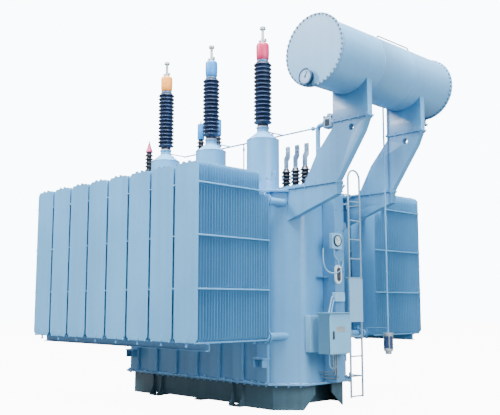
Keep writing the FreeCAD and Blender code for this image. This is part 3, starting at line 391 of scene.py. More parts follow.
def eye_plate(width, height, thickness, hole):
    """A lifting eye: a rounded plate with a hole, standing on edge along X."""
    bm = bmesh.new()
    sides = 14
    loops = []
    for radius in (width / 2, hole):
        centre = Matrix.Translation((0, 0, height - width / 2))
        upright = centre @ Matrix.Rotation(math.radians(90), 4, "X")
        ring = bmesh.ops.create_circle(bm, segments=sides, radius=radius, matrix=upright)["verts"]
        loops.append(ring)
    for vert in loops[0]:
        if vert.co.z < height - width / 2 - 0.001:
            vert.co.z = 0
            vert.co.x = math.copysign(width / 2, vert.co.x) if abs(vert.co.x) > 0.01 * width else 0
    edges = {edge for loop in loops for vert in loop for edge in vert.link_edges}
    faces = bmesh.ops.bridge_loops(bm, edges=list(edges))["faces"]
    grown = bmesh.ops.extrude_face_region(bm, geom=faces)["geom"]
    verts = [part for part in grown if isinstance(part, bmesh.types.BMVert)]
    bmesh.ops.translate(bm, verts=verts, vec=(0, thickness, 0))
    bmesh.ops.translate(bm, verts=bm.verts, vec=(0, -thickness / 2, 0))
    bmesh.ops.remove_doubles(bm, verts=bm.verts, dist=MERGE)
    return pattern(bm)


lifting_eye = eye_plate(0.11, 0.15, 0.022, 0.028)
eyes = []
for x in (-1, 1):
    for y in (-1, 1):
        corner = (x * (tank_high.x - CORNER_LEG - 0.05), y * (tank_high.y - 0.11), cover_high.z - 0.004)
        eyes.append(moved(lifting_eye, spot(corner)))
piece("lifting_eyes", eyes, tank_paint, "tank_paint")

# ---------------------------------------------------------------- the radiators
# Each radiator is a row of pressed steel panels, two thin sheets seam-welded round
# their edge and bulged into upright flutes, on a top and a bottom collector pipe, with
# square tie bars across their edges. Dipped in the same light blue enamel.

RADIATOR_BLUE = paint_colour(88, 152, 198)
radiator_paint = enamel("radiator_paint", RADIATOR_BLUE, rough=0.36, fade=0.08, dust=0.22)
first_low, first_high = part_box("near_radiator_1")
DRAIN_DROP = 0.065
VENT_RISE = 0.035
TIE_BAR = 0.022
PANEL_HALF = (first_high.x - first_low.x - TIE_BAR) / 2
PANEL_BASE = first_low.z + DRAIN_DROP
PANEL_HEIGHT = first_high.z - VENT_RISE - PANEL_BASE
SHORT_HEIGHT = PANEL_HEIGHT - 0.331
BANK_DEPTH = first_high.y - first_low.y
PANEL_COUNT = 28
SHORT_COUNT = 4
PANEL_THICK = 0.014
PANEL_PITCH = (BANK_DEPTH - PANEL_THICK) / (PANEL_COUNT - 1)
PANEL_CORNER = 0.055
SEAM_THICK = 0.003
SEAM_WIDE = 0.022
FLUTES = 7
COLLECTOR = 0.042


def panel(height, rounded):
    """One pressed panel, upright across Y: flutes, seam-welded rim and cut corners."""
    flute = (PANEL_HALF - SEAM_WIDE) / FLUTES
    stations = [-PANEL_HALF, SEAM_WIDE - PANEL_HALF]
    stations += [SEAM_WIDE - PANEL_HALF + flute * step for step in range(1, 2 * FLUTES)]
    stations += [PANEL_HALF - SEAM_WIDE, PANEL_HALF]
    levels = [0, 0.045, 0.13, height - 0.19, height - 0.1, height] if rounded else [0, height]
    bm = bmesh.new()
    bottom = [bm.verts.new((x, 0, 0)) for x in stations]
    row = [bm.edges.new(pair) for pair in zip(bottom, bottom[1:])]
    for low, high in zip(levels, levels[1:]):
        grown = bmesh.ops.extrude_edge_only(bm, edges=row)["geom"]
        top = [part for part in grown if isinstance(part, bmesh.types.BMVert)]
        row = [part for part in grown if isinstance(part, bmesh.types.BMEdge) and part.is_boundary
               and all(vert in top for vert in part.verts)]
        bmesh.ops.translate(bm, verts=top, vec=(0, 0, high - low))
    crests = {round(stations[index], 5) for index in range(2, len(stations) - 2, 2)}
    fluted = levels[2:-2] if rounded else levels
    for vert in bm.verts:
        x, level = vert.co.x, vert.co.z
        swell = SEAM_THICK / 2
        if abs(x) < PANEL_HALF - SEAM_WIDE / 2:
            swell = PANEL_THICK / 2 - (0 if round(x, 5) in crests else 0.0045)
            if level not in fluted and rounded:
                swell = PANEL_THICK / 2 - 0.0035
            if rounded and level in (levels[0], levels[-1]):
                swell = SEAM_THICK / 2
        trim = max(0, abs(x) - (PANEL_HALF - PANEL_CORNER))
        vert.co.y = -swell
        if level < trim:
            vert.co.z = trim
        if level > height - trim:
            vert.co.z = height - trim
    back = bmesh.ops.duplicate(bm, geom=bm.verts[:] + bm.edges[:] + bm.faces[:])["geom"]
    verts = [part for part in back if isinstance(part, bmesh.types.BMVert)]
    bmesh.ops.scale(bm, verts=verts, vec=(1, -1, 1))
    rim = [edge for edge in bm.edges if edge.is_boundary]
    bmesh.ops.bridge_loops(bm, edges=rim)
    return pattern(bm)


def drum(point, facing, radius, length, edge=0.0, sides=24):
    """A round block that starts at a point and runs along facing."""
    bm = bmesh.new()
    bmesh.ops.create_cone(bm, cap_ends=True, cap_tris=False, segments=sides, radius1=radius,
                          radius2=radius, depth=length, matrix=Matrix.Translation((0, 0, length / 2)))
    if edge:
        ease(bm, edge, 1, lambda e: abs(e.verts[0].co.z - e.verts[1].co.z) < MERGE)
    bmesh.ops.transform(bm, matrix=spot(point, facing), verts=bm.verts)
    return pattern(bm)


TOWARDS = (0, -1, 0)
SHORT_DEPTH = SHORT_COUNT * PANEL_PITCH
UPPER_COLLECTOR = PANEL_HEIGHT - 0.08
NECK_COLLECTOR = SHORT_HEIGHT - 0.06
LOWER_COLLECTOR = 0.035
TIE_LEVELS = (0, 0.293 * PANEL_HEIGHT, 0.587 * PANEL_HEIGHT, 0.88 * PANEL_HEIGHT)
outer_panel = panel(PANEL_HEIGHT, True)
inner_panel = panel(PANEL_HEIGHT, False)
short_panel = panel(SHORT_HEIGHT, False)
short_outer = panel(SHORT_HEIGHT, True)
radiator = []
for number in range(PANEL_COUNT):
    shape = inner_panel if number >= SHORT_COUNT else short_panel
    if number == 0:
        shape = short_outer
    if number in (SHORT_COUNT, PANEL_COUNT - 1):
        shape = outer_panel
    radiator.append(moved(shape, Matrix.Translation((0, -number * PANEL_PITCH - PANEL_THICK / 2, 0))))
face = -BANK_DEPTH
upper_start = (0, -SHORT_DEPTH, UPPER_COLLECTOR)
radiator.append(drum(upper_start, TOWARDS, COLLECTOR, BANK_DEPTH - SHORT_DEPTH - 0.01))
radiator.append(drum((0, 0, NECK_COLLECTOR), TOWARDS, COLLECTOR, SHORT_DEPTH))
radiator.append(drum((0, 0, LOWER_COLLECTOR), TOWARDS, COLLECTOR, BANK_DEPTH - 0.01))
neck_low = (-COLLECTOR, -SHORT_DEPTH, NECK_COLLECTOR - COLLECTOR)
neck_high = (COLLECTOR, 0.037 - SHORT_DEPTH, UPPER_COLLECTOR + COLLECTOR)
radiator.append(plate(neck_low, neck_high, 0.018, 3))
for level in TIE_LEVELS:
    reach = PANEL_HALF - PANEL_CORNER if level == 0 else PANEL_HALF
    for x in (-reach, reach):
        low = (x - TIE_BAR / 2, face, level - TIE_BAR / 2)
        radiator.append(plate(low, (x + TIE_BAR / 2, 0, level + TIE_BAR / 2), 0.003))
vent_body = drum((0, face + 0.05, UPPER_COLLECTOR), (0, 0, 1), 0.018, 0.08 + 0.012)
vent_cap = drum((0, face + 0.05, PANEL_HEIGHT + 0.01), (0, 0, 1), 0.024, 0.022, 0.004)
radiator += [vent_body, vent_cap]
for y in (face + 0.03, -0.06):
    radiator.append(drum((0, y, 0), (0, 0, -1), 0.015, DRAIN_DROP - 0.018))
    radiator.append(drum((0, y, 0.018 - DRAIN_DROP), (0, 0, -1), 0.021, 0.017, 0.004))
radiator_eye = eye_plate(0.09, 0.105, 0.012, 0.018)
for y in (face + 0.034, 0.1 - SHORT_DEPTH):
    radiator.append(moved(radiator_eye, spot((-0.11, y, PANEL_HEIGHT - 0.072))))
boss = drum((0, face + 0.004, LOWER_COLLECTOR + 0.012), TOWARDS, 0.05, 0.004)
radiator.append(boss)

bank_faces = {"near": first_high.y, "far": -first_high.y}
for side, half_turn in (("near", 0), ("far", math.pi)):
    for number in range(1, 9):
        node = f"{side}_radiator_{number}"
        low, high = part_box(node)
        stand = Matrix.Translation(((low.x + high.x) / 2, bank_faces[side], PANEL_BASE))
        place = stand @ Matrix.Rotation(half_turn, 4, "Z")
        shapes = [moved(shape, place) for shape in radiator]
        piece(node + "_panels", shapes, radiator_paint, "radiator_paint", [node], corner=40)

# ---------------------------------------------------------------- the beams
# A rolled channel under each bank, open towards the outside, that the outer panels
# rest on. Painted with the tank.

for side, out in (("near", -1), ("far", 1)):
    node = side + "_radiator_beam"
    low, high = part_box(node)
    back = high.y if out < 0 else low.y
    front = low.y if out < 0 else high.y
    web = sorted((back, back + out * 0.008))
    shapes = [plate((low.x, web[0], low.z), (high.x, web[1], high.z), 0.002)]
    for level in (low.z, high.z - 0.011):
        lip = sorted((back, front))
        shapes.append(plate((low.x, lip[0], level), (high.x, lip[1], level + 0.011), 0.003))
    piece(side + "_channel", shapes, tank_paint, "tank_paint", [node])

# ---------------------------------------------------------------- oil pipes and valves
# A short pipe and a butterfly valve join each radiator to the tank, top and bottom. The
# valve is a cast ring between two bolted flanges with a lever on its spindle.

PIPE_RADIUS = 0.06
VALVE_RADIUS = 0.105
VALVE_LENGTH = 0.09
PIPE_FLANGE = 0.018
VALVE_SETBACK = 0.178
FACET_SETBACK = 0.24
pipe_bolt = hex_bolt(0.022, 0.018)


def valve():
    """A butterfly valve along Y with its flanges, bolts and lever, centred on its disc."""
    half = VALVE_LENGTH / 2
    shapes = [drum((0, -half + 0.02, 0), (0, 1, 0), 0.082, VALVE_LENGTH - 0.04, 0.004)]
    for side in (-1, 1):
        start = side * half if side < 0 else half - PIPE_FLANGE
        shapes.append(drum((0, start, 0), (0, 1, 0), VALVE_RADIUS, PIPE_FLANGE, 0.003))
        for step in range(8):
            turn = math.tau * (step + 0.5) / 8
            point = (0.088 * math.cos(turn), side * (half - 0.001), 0.088 * math.sin(turn))
            shapes.append(moved(pipe_bolt, spot(point, (0, side, 0))))
    shapes.append(drum((0, 0, 0.08), (0, 0, 1), 0.016, 0.05, 0.003))
    shapes.append(plate((-0.012, -0.012, 0.118), (0.09, 0.012, 0.126), 0.002))
    return shapes


valve_shapes = valve()
for side, out in (("near", -1), ("far", 1)):
    face_y = bank_faces[side]
    for level in ("top", "bottom"):
        node = f"{side}_{level}_pipes"
        low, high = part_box(node)
        z = (low.z + high.z) / 2
        shapes = []
        for number in range(1, 9):
            box_low, box_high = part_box(f"{side}_radiator_{number}")
            x = (box_low.x + box_high.x) / 2
            wall = out * (tank_high.y - (0 if abs(x) < tank_high.x - CORNER_LEG else FACET_SETBACK))
            shapes.append(drum((x, face_y, z), (0, -out, 0), PIPE_RADIUS, abs(face_y - wall) + 0.01))
            shapes.append(drum((x, face_y, z), (0, -out, 0), 0.09, 0.016, 0.003))
            centre = Matrix.Translation((x, face_y - out * VALVE_SETBACK, z))
            shapes += [moved(shape, centre) for shape in valve_shapes]
        piece(f"{side}_{level}_valves", shapes, tank_paint, "tank_paint", [node])

# ---------------------------------------------------------------- bushing turrets
# Welded drums on the cover that hold the current transformers, each with a sloping
# shoulder, a bolted foot ring and a short neck. Painted with the tank.


def turned(outline, sides=36):
    """A round shape about its upright axis, from a half outline of (radius, height) points."""
    bm = bmesh.new()
    verts = [bm.verts.new((radius, 0, height)) for radius, height in outline]
    edges = [bm.edges.new(pair) for pair in zip(verts, verts[1:])]
    bmesh.ops.spin(bm, geom=verts + edges, cent=(0, 0, 0), axis=(0, 0, 1), angle=math.tau,
                   steps=sides, use_merge=True)
    bmesh.ops.remove_doubles(bm, verts=bm.verts, dist=MERGE)
    return pattern(bm)


def ring_of(shape, radius, count, level=0.0, facing=(0, 0, 1), shift=0.5):
    """Copies of a shape evenly round an upright axis."""
    turns = [math.tau * (step + shift) / count for step in range(count)]
    return [moved(shape, spot((radius * math.cos(t), radius * math.sin(t), level), facing)) for t in turns]


turret_low, turret_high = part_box("hv_turret_a")
FOOT_RING = (turret_high.x - turret_low.x) / 2
DRUM_RADIUS = FOOT_RING - 0.04
DRUM_HEIGHT = 0.945
SHOULDER = 0.135
NECK_RADIUS = 0.102
TURRET_HEIGHT = turret_high.z - turret_low.z
turret_paint = enamel("turret_paint", paint_colour(92, 154, 200), rough=0.32, fade=0.06, dust=0.15)
neck_base = DRUM_HEIGHT + SHOULDER
turret_outline = [
    (0, 0), (FOOT_RING, 0), (FOOT_RING, 0.027), (FOOT_RING - 0.004, 0.030), (DRUM_RADIUS + 0.008, 0.030),
    (DRUM_RADIUS, 0.042), (DRUM_RADIUS, DRUM_HEIGHT - 0.012), (DRUM_RADIUS + 0.004, DRUM_HEIGHT - 0.006),
    (DRUM_RADIUS + 0.002, DRUM_HEIGHT + 0.002), (DRUM_RADIUS - 0.012, DRUM_HEIGHT + 0.008),
    (NECK_RADIUS + 0.014, neck_base - 0.008), (NECK_RADIUS, neck_base + 0.006),
    (NECK_RADIUS, TURRET_HEIGHT - 0.018), (NECK_RADIUS + 0.009, TURRET_HEIGHT - 0.016),
    (NECK_RADIUS + 0.010, TURRET_HEIGHT - 0.002), (NECK_RADIUS + 0.008, TURRET_HEIGHT), (0, TURRET_HEIGHT),
]
turret_shape = turned(turret_outline, 48)
small_bolt = hex_bolt(0.024, 0.02)
turret_bolts = ring_of(flange_bolt, DRUM_RADIUS + 0.024, 20, 0.029)
turret_eye = eye_plate(0.07, 0.075, 0.012, 0.014)
turret_eyes = [moved(turret_eye, spot((x, 0, neck_base - 0.12))) for x in (-0.215, 0.215)]
middles = {}
for letter in "abc":
    node = "hv_turret_" + letter
    low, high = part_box(node)
    middles[letter] = Vector(((low.x + high.x) / 2, (low.y + high.y) / 2, 0))
    stand = Matrix.Translation(middles[letter] + Vector((0, 0, low.z)))
    shapes = [moved(shape, stand) for shape in [turret_shape] + turret_eyes]
    piece(f"turret_{letter}_drum", shapes, turret_paint, "tank_paint", [node])
    bolts = [moved(shape, stand) for shape in turret_bolts]
    piece(f"turret_{letter}_bolts", bolts, turret_paint, "tank_paint")

# ---------------------------------------------------------------- tall bushings
# A column of dark glazed porcelain with fifteen blunt drooping sheds, clamped at its
# foot by a metal ring. The glaze is glossy; dust dulls the tops of the sheds, and dust
# and a painted highlight make them paler.


def glaze(name, colour, rim):
    """Dark fired glaze, paler on the upward faces of the shed rims from dust and a painted highlight."""
    glass = Finish(name)
    flow = glass.cloud(5, 3, (1, 1, 0.3))
    specks = glass.cloud(70, 2)
    body = glass.mix(glass.step(flow, 0.35, 0.65), toned(colour, 0.8), toned(colour, 1.25))
    ledge = glass.upward() * glass.step(specks, 0.3, 0.75)
    # Dust and painted highlight: upward faces of the shed rims are mixed towards the paler rim colour.
    dust_and_highlight = glass.mix(ledge * 0.22, body, rim)
    inputs = {"Base Color": dust_and_highlight, "Roughness": 0.3 + ledge * 0.25, "Coat Weight": 0.06}
    return glass.done(inputs, glass.cloud(25, 1), 0.0008)


insulator_low, insulator_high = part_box("hv_insulator_a")
SHED_RADIUS = (insulator_high.x - insulator_low.x) / 2
CORE_RADIUS = 0.114
FOOT_RADIUS = 0.097
SHED_COUNT = 15
SHED_PITCH = 0.072
INSULATOR_HEIGHT = insulator_high.z - insulator_low.z
# The second colour is the rim colour: dust and a painted highlight on the tops of the sheds.
navy_glaze = glaze("navy_glaze", paint_colour(16, 36, 66), paint_colour(84, 116, 150))
column = [(0, 0), (FOOT_RADIUS, 0), (FOOT_RADIUS, SHED_PITCH - 0.014), (CORE_RADIUS, SHED_PITCH)]
for number in range(SHED_COUNT):
    z = SHED_PITCH * (number + 1)
    column += [
        (CORE_RADIUS + 0.004, z + 0.002), (SHED_RADIUS - 0.008, z + 0.008), (SHED_RADIUS, z + 0.014),
        (SHED_RADIUS, z + 0.022), (SHED_RADIUS - 0.006, z + 0.029), (CORE_RADIUS + 0.008, z + 0.052),
        (CORE_RADIUS, z + 0.058),
    ]
column += [(CORE_RADIUS, INSULATOR_HEIGHT), (0, INSULATOR_HEIGHT)]
porcelain_shape = turned(column, 40)
clamp = [
    (FOOT_RADIUS - 0.004, 0), (FOOT_RADIUS + 0.010, 0), (FOOT_RADIUS + 0.010, 0.014),
    (FOOT_RADIUS + 0.004, 0.02),
]
foot_clamp = turned(clamp + [(FOOT_RADIUS - 0.004, 0.026), clamp[0]], 40)


def bare_metal(name, colour, rough=0.32, brushed=(1, 1, 1)):
    """Bare or galvanised metal, dulled unevenly by the weather."""
    metal = Finish(name)
    spangle = metal.cloud(38, 3, brushed)
    stain = metal.cloud(6, 3)
    shade = metal.mix(
        metal.step(stain * 0.6 + spangle * 0.4, 0.3, 0.7), toned(colour, 0.72), toned(colour, 1.15),
    )
    inputs = {"Base Color": shade, "Roughness": rough + stain * 0.18 + spangle * 0.08, "Metallic": 0.85}
    return metal.done(inputs, spangle, 0.0003)


zinc = bare_metal("zinc_metal", paint_colour(186, 194, 198))
for letter in "abc":
    node = "hv_insulator_" + letter
    stand = Matrix.Translation(middles[letter] + Vector((0, 0, insulator_low.z)))
    piece(f"bushing_{letter}_porcelain", [moved(porcelain_shape, stand)], navy_glaze, "porcelain", [node])
    piece(f"bushing_{letter}_clamp", [moved(foot_clamp, stand)], zinc, "terminal_metal")

# ---------------------------------------------------------------- bushing caps
# The oil caps on the tall bushings: a metal band, a barrel-shaped cover painted in its
# phase colour, and a tinned stud with a clamp and two small pads for the line.


def gloss_coat(name, colour, rough=0.4):
    """Glossy coloured lacquer, paler on top with a painted light, and faded a little at random."""
    coat = Finish(name)
    patch = coat.cloud(7, 3)
    # Painted light on top: upward faces are mixed towards a paler colour; the small random part is uneven
    # fading.
    top_light_and_fade = coat.upward() * 0.15 + coat.step(patch, 0.35, 0.7) * 0.05
    colours = coat.mix(top_light_and_fade, toned(colour, 0.9), (*[0.45 + 0.55 * part for part in colour[:3]], 1))
    inputs = {"Base Color": colours, "Roughness": rough + patch * 0.12, "Coat Weight": 0.1}
    return coat.done(inputs, coat.cloud(150, 1), 0.0003)


cap_low, cap_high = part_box("hv_cap_yellow")
CAP_RADIUS = (cap_high.x - cap_low.x) / 2
STUD_HEIGHT = 0.3
CAP_HEIGHT = cap_high.z - cap_low.z - STUD_HEIGHT
BAND_HEIGHT = 0.045
STUD_RADIUS = 0.026
BAND_RADIUS = CAP_RADIUS - 0.012
band_shape = turned([
    (0, 0), (BAND_RADIUS - 0.004, 0), (BAND_RADIUS, 0.004), (BAND_RADIUS, BAND_HEIGHT - 0.018),
    (BAND_RADIUS - 0.006, BAND_HEIGHT - 0.014), (BAND_RADIUS - 0.006, BAND_HEIGHT), (0, BAND_HEIGHT)], 36)
barrel_shape = turned([
    (0, BAND_HEIGHT - 0.004), (BAND_RADIUS, BAND_HEIGHT - 0.004), (CAP_RADIUS - 0.004, BAND_HEIGHT + 0.016),
    (CAP_RADIUS, CAP_HEIGHT * 0.4), (CAP_RADIUS, CAP_HEIGHT * 0.84),
    (CAP_RADIUS - 0.004, CAP_HEIGHT * 0.93),
    (CAP_RADIUS - 0.016, CAP_HEIGHT * 0.985), (CAP_RADIUS - 0.034, CAP_HEIGHT), (0, CAP_HEIGHT)], 36)
stud_top = CAP_HEIGHT + STUD_HEIGHT
stud_shape = turned([
    (0, CAP_HEIGHT - 0.006), (0.055, CAP_HEIGHT - 0.006), (0.055, CAP_HEIGHT + 0.022),
    (0.048, CAP_HEIGHT + 0.028),
    (0.034, CAP_HEIGHT + 0.03), (0.034, CAP_HEIGHT + 0.075), (STUD_RADIUS, CAP_HEIGHT + 0.08),
    (STUD_RADIUS, stud_top - 0.05), (2 * STUD_RADIUS - 0.003, stud_top - 0.048),
    (2 * STUD_RADIUS, stud_top - 0.044),
    (2 * STUD_RADIUS, stud_top - 0.004), (2 * STUD_RADIUS - 0.004, stud_top), (0, stud_top)], 28)
pads = [
    plate((x - 0.012, -0.028, CAP_HEIGHT + 0.024), (x + 0.012, 0.028, CAP_HEIGHT + 0.075))
    for x in (-0.062, 0.062)
]
band_grey = enamel("band_grey", paint_colour(78, 110, 142), rough=0.3, dust=0.1)
caps = (("a", "yellow", (244, 150, 40)), ("b", "blue", (0, 128, 204)), ("c", "red", (196, 0, 84)))
for letter, name, chip in caps:
    lacquer = gloss_coat(name + "_lacquer", paint_colour(*chip))
    stand = Matrix.Translation(middles[letter] + Vector((0, 0, cap_low.z)))
    piece(
        f"cap_{name}_barrel", [moved(barrel_shape, stand)], lacquer, name + "_cap_paint",
        ["hv_cap_" + name],
    )
    piece(f"cap_{name}_band", [moved(band_shape, stand)], band_grey, "terminal_metal")
    studs = [moved(shape, stand) for shape in [stud_shape] + pads]
    piece(f"cap_{name}_stud", studs, zinc, "terminal_metal")

# ---------------------------------------------------------------- slim bushings
# The neutral bushing and three medium voltage bushings: a painted flanged foot, a slim
# column of black glazed sheds, a coloured hood and a metal tip.

# The second colour is the rim colour: dust and a painted highlight on the tops of the sheds.
black_glaze = glaze("black_glaze", paint_colour(34, 38, 48), paint_colour(110, 122, 134))
SLIM_SHEDS = 12
SLIM_PITCH = 0.075


def slim_bushing(height, radius, hood_height, hood_tip):
    """Foot, column, hood and tip of a slim bushing, each as a round shape."""
    core = 0.6 * radius
    foot_top = height - SLIM_SHEDS * SLIM_PITCH - hood_height - 0.08
    hood_base = height - hood_height - 0.07
    foot = [
        (0, 0), (radius + 0.012, 0), (radius + 0.012, 0.022), (radius - 0.004, 0.026),
        (radius - 0.01, 0.05),
    ]
    foot += [
        (radius - 0.01, foot_top - 0.03), (radius + 0.01, foot_top - 0.026), (radius + 0.01, foot_top),
        (0, foot_top),
    ]
    sheds = [(0, foot_top - 0.002), (core + 0.012, foot_top - 0.002)]
    for number in range(SLIM_SHEDS):
        z = foot_top + 0.012 + number * SLIM_PITCH
        sheds += [
            (core, z - 0.004), (radius - 0.005, z), (radius, z + 0.006), (core + 0.012, z + 0.028),
            (core, z + 0.04),
        ]
    sheds += [(core, hood_base + 0.01), (0, hood_base + 0.01)]
    hood = [(0, hood_base), (0.82 * radius, hood_base), (0.86 * radius, hood_base + 0.012)]
    hood += [(hood_tip + 0.004, hood_base + hood_height - 0.02), (hood_tip, hood_base + hood_height)]
    hood += [(0, hood_base + hood_height)]
    tip = [(0, height - 0.09), (0.024, height - 0.09), (0.024, height - 0.05), (0.014, height - 0.046)]
    tip += [(0.014, height - 0.003), (0.011, height), (0, height)]
    return [turned(outline, 28) for outline in (foot, sheds, hood, tip)]


neutral_low, neutral_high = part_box("neutral_bushing")
rear_low, rear_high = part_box("rear_bushings")
slim_radius = (neutral_high.x - neutral_low.x) / 2 - 0.012
rear_height = rear_high.z - rear_low.z
rear_row = (rear_low.y + rear_high.y) / 2
rear_first = rear_low.x + slim_radius + 0.012
rear_pitch = (rear_high.x - rear_low.x - 2 * (slim_radius + 0.012)) / 2
neutral = slim_bushing(neutral_high.z - neutral_low.z, slim_radius, 0.16, 0.026)
rear = slim_bushing(rear_height, slim_radius, 0.325, 0.8 * slim_radius)
magenta_lacquer = gloss_coat("magenta_lacquer", paint_colour(196, 52, 120))
blue_lacquer = bpy.data.materials["blue_lacquer"]
neutral_at = ((neutral_low.x + neutral_high.x) / 2, (neutral_low.y + neutral_high.y) / 2, neutral_low.z)
stands = [("neutral", neutral_at, neutral, magenta_lacquer)]
for number, name in enumerate(("left", "middle", "right")):
    at = (rear_first + number * rear_pitch, rear_row, rear_low.z)
    stands.append(("rear_" + name, at, rear, blue_lacquer))
for name, at, (foot, sheds, hood, tip), lacquer in stands:
    stand = Matrix.Translation(at)
    foot_bolts = ring_of(small_bolt, slim_radius + 0.001, 8, 0.021)
    piece(name + "_foot", [moved(shape, stand) for shape in [foot] + foot_bolts], tank_paint, "tank_paint")
    replaced = {"neutral": ["neutral_bushing"], "rear_left": ["rear_bushings"]}.get(name, [])
    piece(name + "_sheds", [moved(sheds, stand)], black_glaze, "dark_porcelain", replaced)
    piece(name + "_hood", [moved(hood, stand)], lacquer, "blue_cap_paint")
    piece(name + "_tip", [moved(tip, stand)], zinc, "terminal_metal")

# ---------------------------------------------------------------- low voltage terminals
# Three short black porcelains, each with a cranked flat copper bar, tinned grey, that
# is drilled for the connecting lugs.

low_low, low_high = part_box("low_voltage_insulators")
bar_low, bar_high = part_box("low_voltage_bars")
LOW_RADIUS = (low_high.y - low_low.y) / 2
LOW_HEIGHT = low_high.z - low_low.z
LOW_CORE = 0.052
stub_outline = [(0, 0), (LOW_RADIUS - 0.004, 0), (LOW_RADIUS - 0.004, 0.02), (LOW_CORE + 0.01, 0.03)]
for number in range(4):
    z = LOW_HEIGHT - 0.062 - 0.062 * (3 - number)
    stub_outline += [
        (LOW_CORE, z - 0.003), (LOW_RADIUS - 0.004, z), (LOW_RADIUS, z + 0.006),
        (LOW_CORE + 0.008, z + 0.034),
    ]
stub_outline += [(LOW_CORE, LOW_HEIGHT), (0, LOW_HEIGHT)]
stub = turned(stub_outline, 32)
BAR_HOLES = ((0.015, 0.30), (0.065, 0.30), (0.015, 0.36), (0.065, 0.36))
bar_metal = bare_metal("tinned_bar", paint_colour(150, 176, 196), rough=0.36, brushed=(1, 1, 0.1))
shapes, studs = [], []
low_pitch = (low_high.x - low_low.x - 2 * LOW_RADIUS) / 2
for number in range(3):
    x = low_low.x + LOW_RADIUS + number * low_pitch
    shapes.append(moved(stub, Matrix.Translation((x, (low_low.y + low_high.y) / 2, low_low.z))))
    for across, rise in BAR_HOLES:
        for side in (-1, 1):
            point = (x + across, side * (bar_high.y - 0.001), bar_low.z + rise)
            studs.append(moved(hex_bolt(0.022, 0.012), spot(point, (0, side, 0))))
    studs.append(drum((x, 0, bar_low.z - 0.004), (0, 0, 1), 0.045, 0.018, 0.003))
piece("low_voltage_porcelain", shapes, black_glaze, "dark_porcelain", ["low_voltage_insulators"])
piece(
    "low_voltage_flags", [steelwork("low_voltage_bars", 0.003)] + studs, bar_metal, "terminal_metal",
    ["low_voltage_bars"],
)

# ---------------------------------------------------------------- the conservator
# The oil expansion tank: a rolled shell with a bolted flat cover at each end, lifting
# lugs, a drain valve and a hand rail on top.

shell_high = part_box("conservator_shell")[1]
covers_low, covers_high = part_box("conservator_covers")
RIM_RADIUS = (covers_high.x - covers_low.x) / 2
FAR_RIM = 0.518
SHELL_RADIUS = 0.495
RIM_THICK = 0.016
SHELL_END = shell_high.y
axis_x = (covers_low.x + covers_high.x) / 2
axis_z = (covers_low.z + covers_high.z) / 2
conservator_paint = enamel(
    "conservator_paint", paint_colour(104, 158, 198), rough=0.3, fade=0.06, dust=0.12,
)
axis_frame = Matrix.Translation((axis_x, 0, axis_z)) @ Matrix.Rotation(math.radians(90), 4, "X")
rim_step = SHELL_END - RIM_THICK


def shell_half(rim):
    """Half of the vessel's outline, from the middle of one end to half its length."""
    return [
        (0, -SHELL_END), (rim - 0.003, -SHELL_END), (rim, 0.003 - SHELL_END), (rim, -rim_step - 0.003),
        (rim - 0.003, -rim_step), (SHELL_RADIUS + 0.008, -rim_step), (SHELL_RADIUS, 0.010 - rim_step),
        (SHELL_RADIUS, -0.4), (SHELL_RADIUS + 0.003, -0.396), (SHELL_RADIUS, -0.39),
    ]


near_half = [(radius, -height) for radius, height in reversed(shell_half(RIM_RADIUS))]
shell_shapes = [moved(turned(shell_half(FAR_RIM) + near_half, 96), axis_frame)]
RAIL_START, RAIL_END = 0.09, 0.957
RAIL_LEVEL = shell_high.z - 0.011


def tube(route, radius, bend=0.05, sides=14, steps=6):
    """A round bar or pipe along straight runs, bent smoothly at each corner."""
    route = [Vector(point) for point in route]
    bm = bmesh.new()
    place = spot(route[0], route[1] - route[0])
    ring = bmesh.ops.create_circle(bm, segments=sides, radius=radius, matrix=place)["verts"]
    tip = ring + list(bm.edges)
    here = route[0]
    for corner, after in zip(route[1:], route[2:] + [None]):
        ahead = (corner - here).normalized()
        turn = ahead.angle(after - corner) if after else 0
        setback = bend * math.tan(turn / 2)
        reach = corner - ahead * setback
        tip = bmesh.ops.spin(bm, geom=tip, cent=here, axis=(0, 0, 1), dvec=reach - here, angle=0,
                             steps=1)["geom_last"]
        here = reach
        if after:
            aside = (after - corner).normalized()
            hinge = ahead.cross(aside).normalized()
            centre = here + hinge.cross(ahead) * bend
            tip = bmesh.ops.spin(
                bm, geom=tip, cent=centre, axis=hinge, angle=turn, steps=steps,
            )["geom_last"]
            here = corner + aside * setback
    bmesh.ops.holes_fill(bm, edges=[edge for edge in bm.edges if edge.is_boundary])
    return pattern(bm)


crown = axis_z + SHELL_RADIUS - 0.006
rail_route = [(axis_x, RAIL_START, crown), (axis_x, RAIL_START, RAIL_LEVEL), (axis_x, RAIL_END, RAIL_LEVEL)]
rail_route.append((axis_x, RAIL_END, crown))
EYE_PLACES = (-1.05, -0.25, 0.55, 1.05)
for y in EYE_PLACES:
    shell_shapes.append(moved(eye_plate(0.10, 0.09, 0.016, 0.018), spot((axis_x, y, crown))))
piece("conservator_vessel", shell_shapes, conservator_paint, "conservator_paint", ["conservator_shell"])
rail_steel = bare_metal("rail_steel", paint_colour(120, 136, 148), rough=0.4)
piece("conservator_rail", [tube(rail_route, 0.011, 0.03)], rail_steel, "ladder_steel")

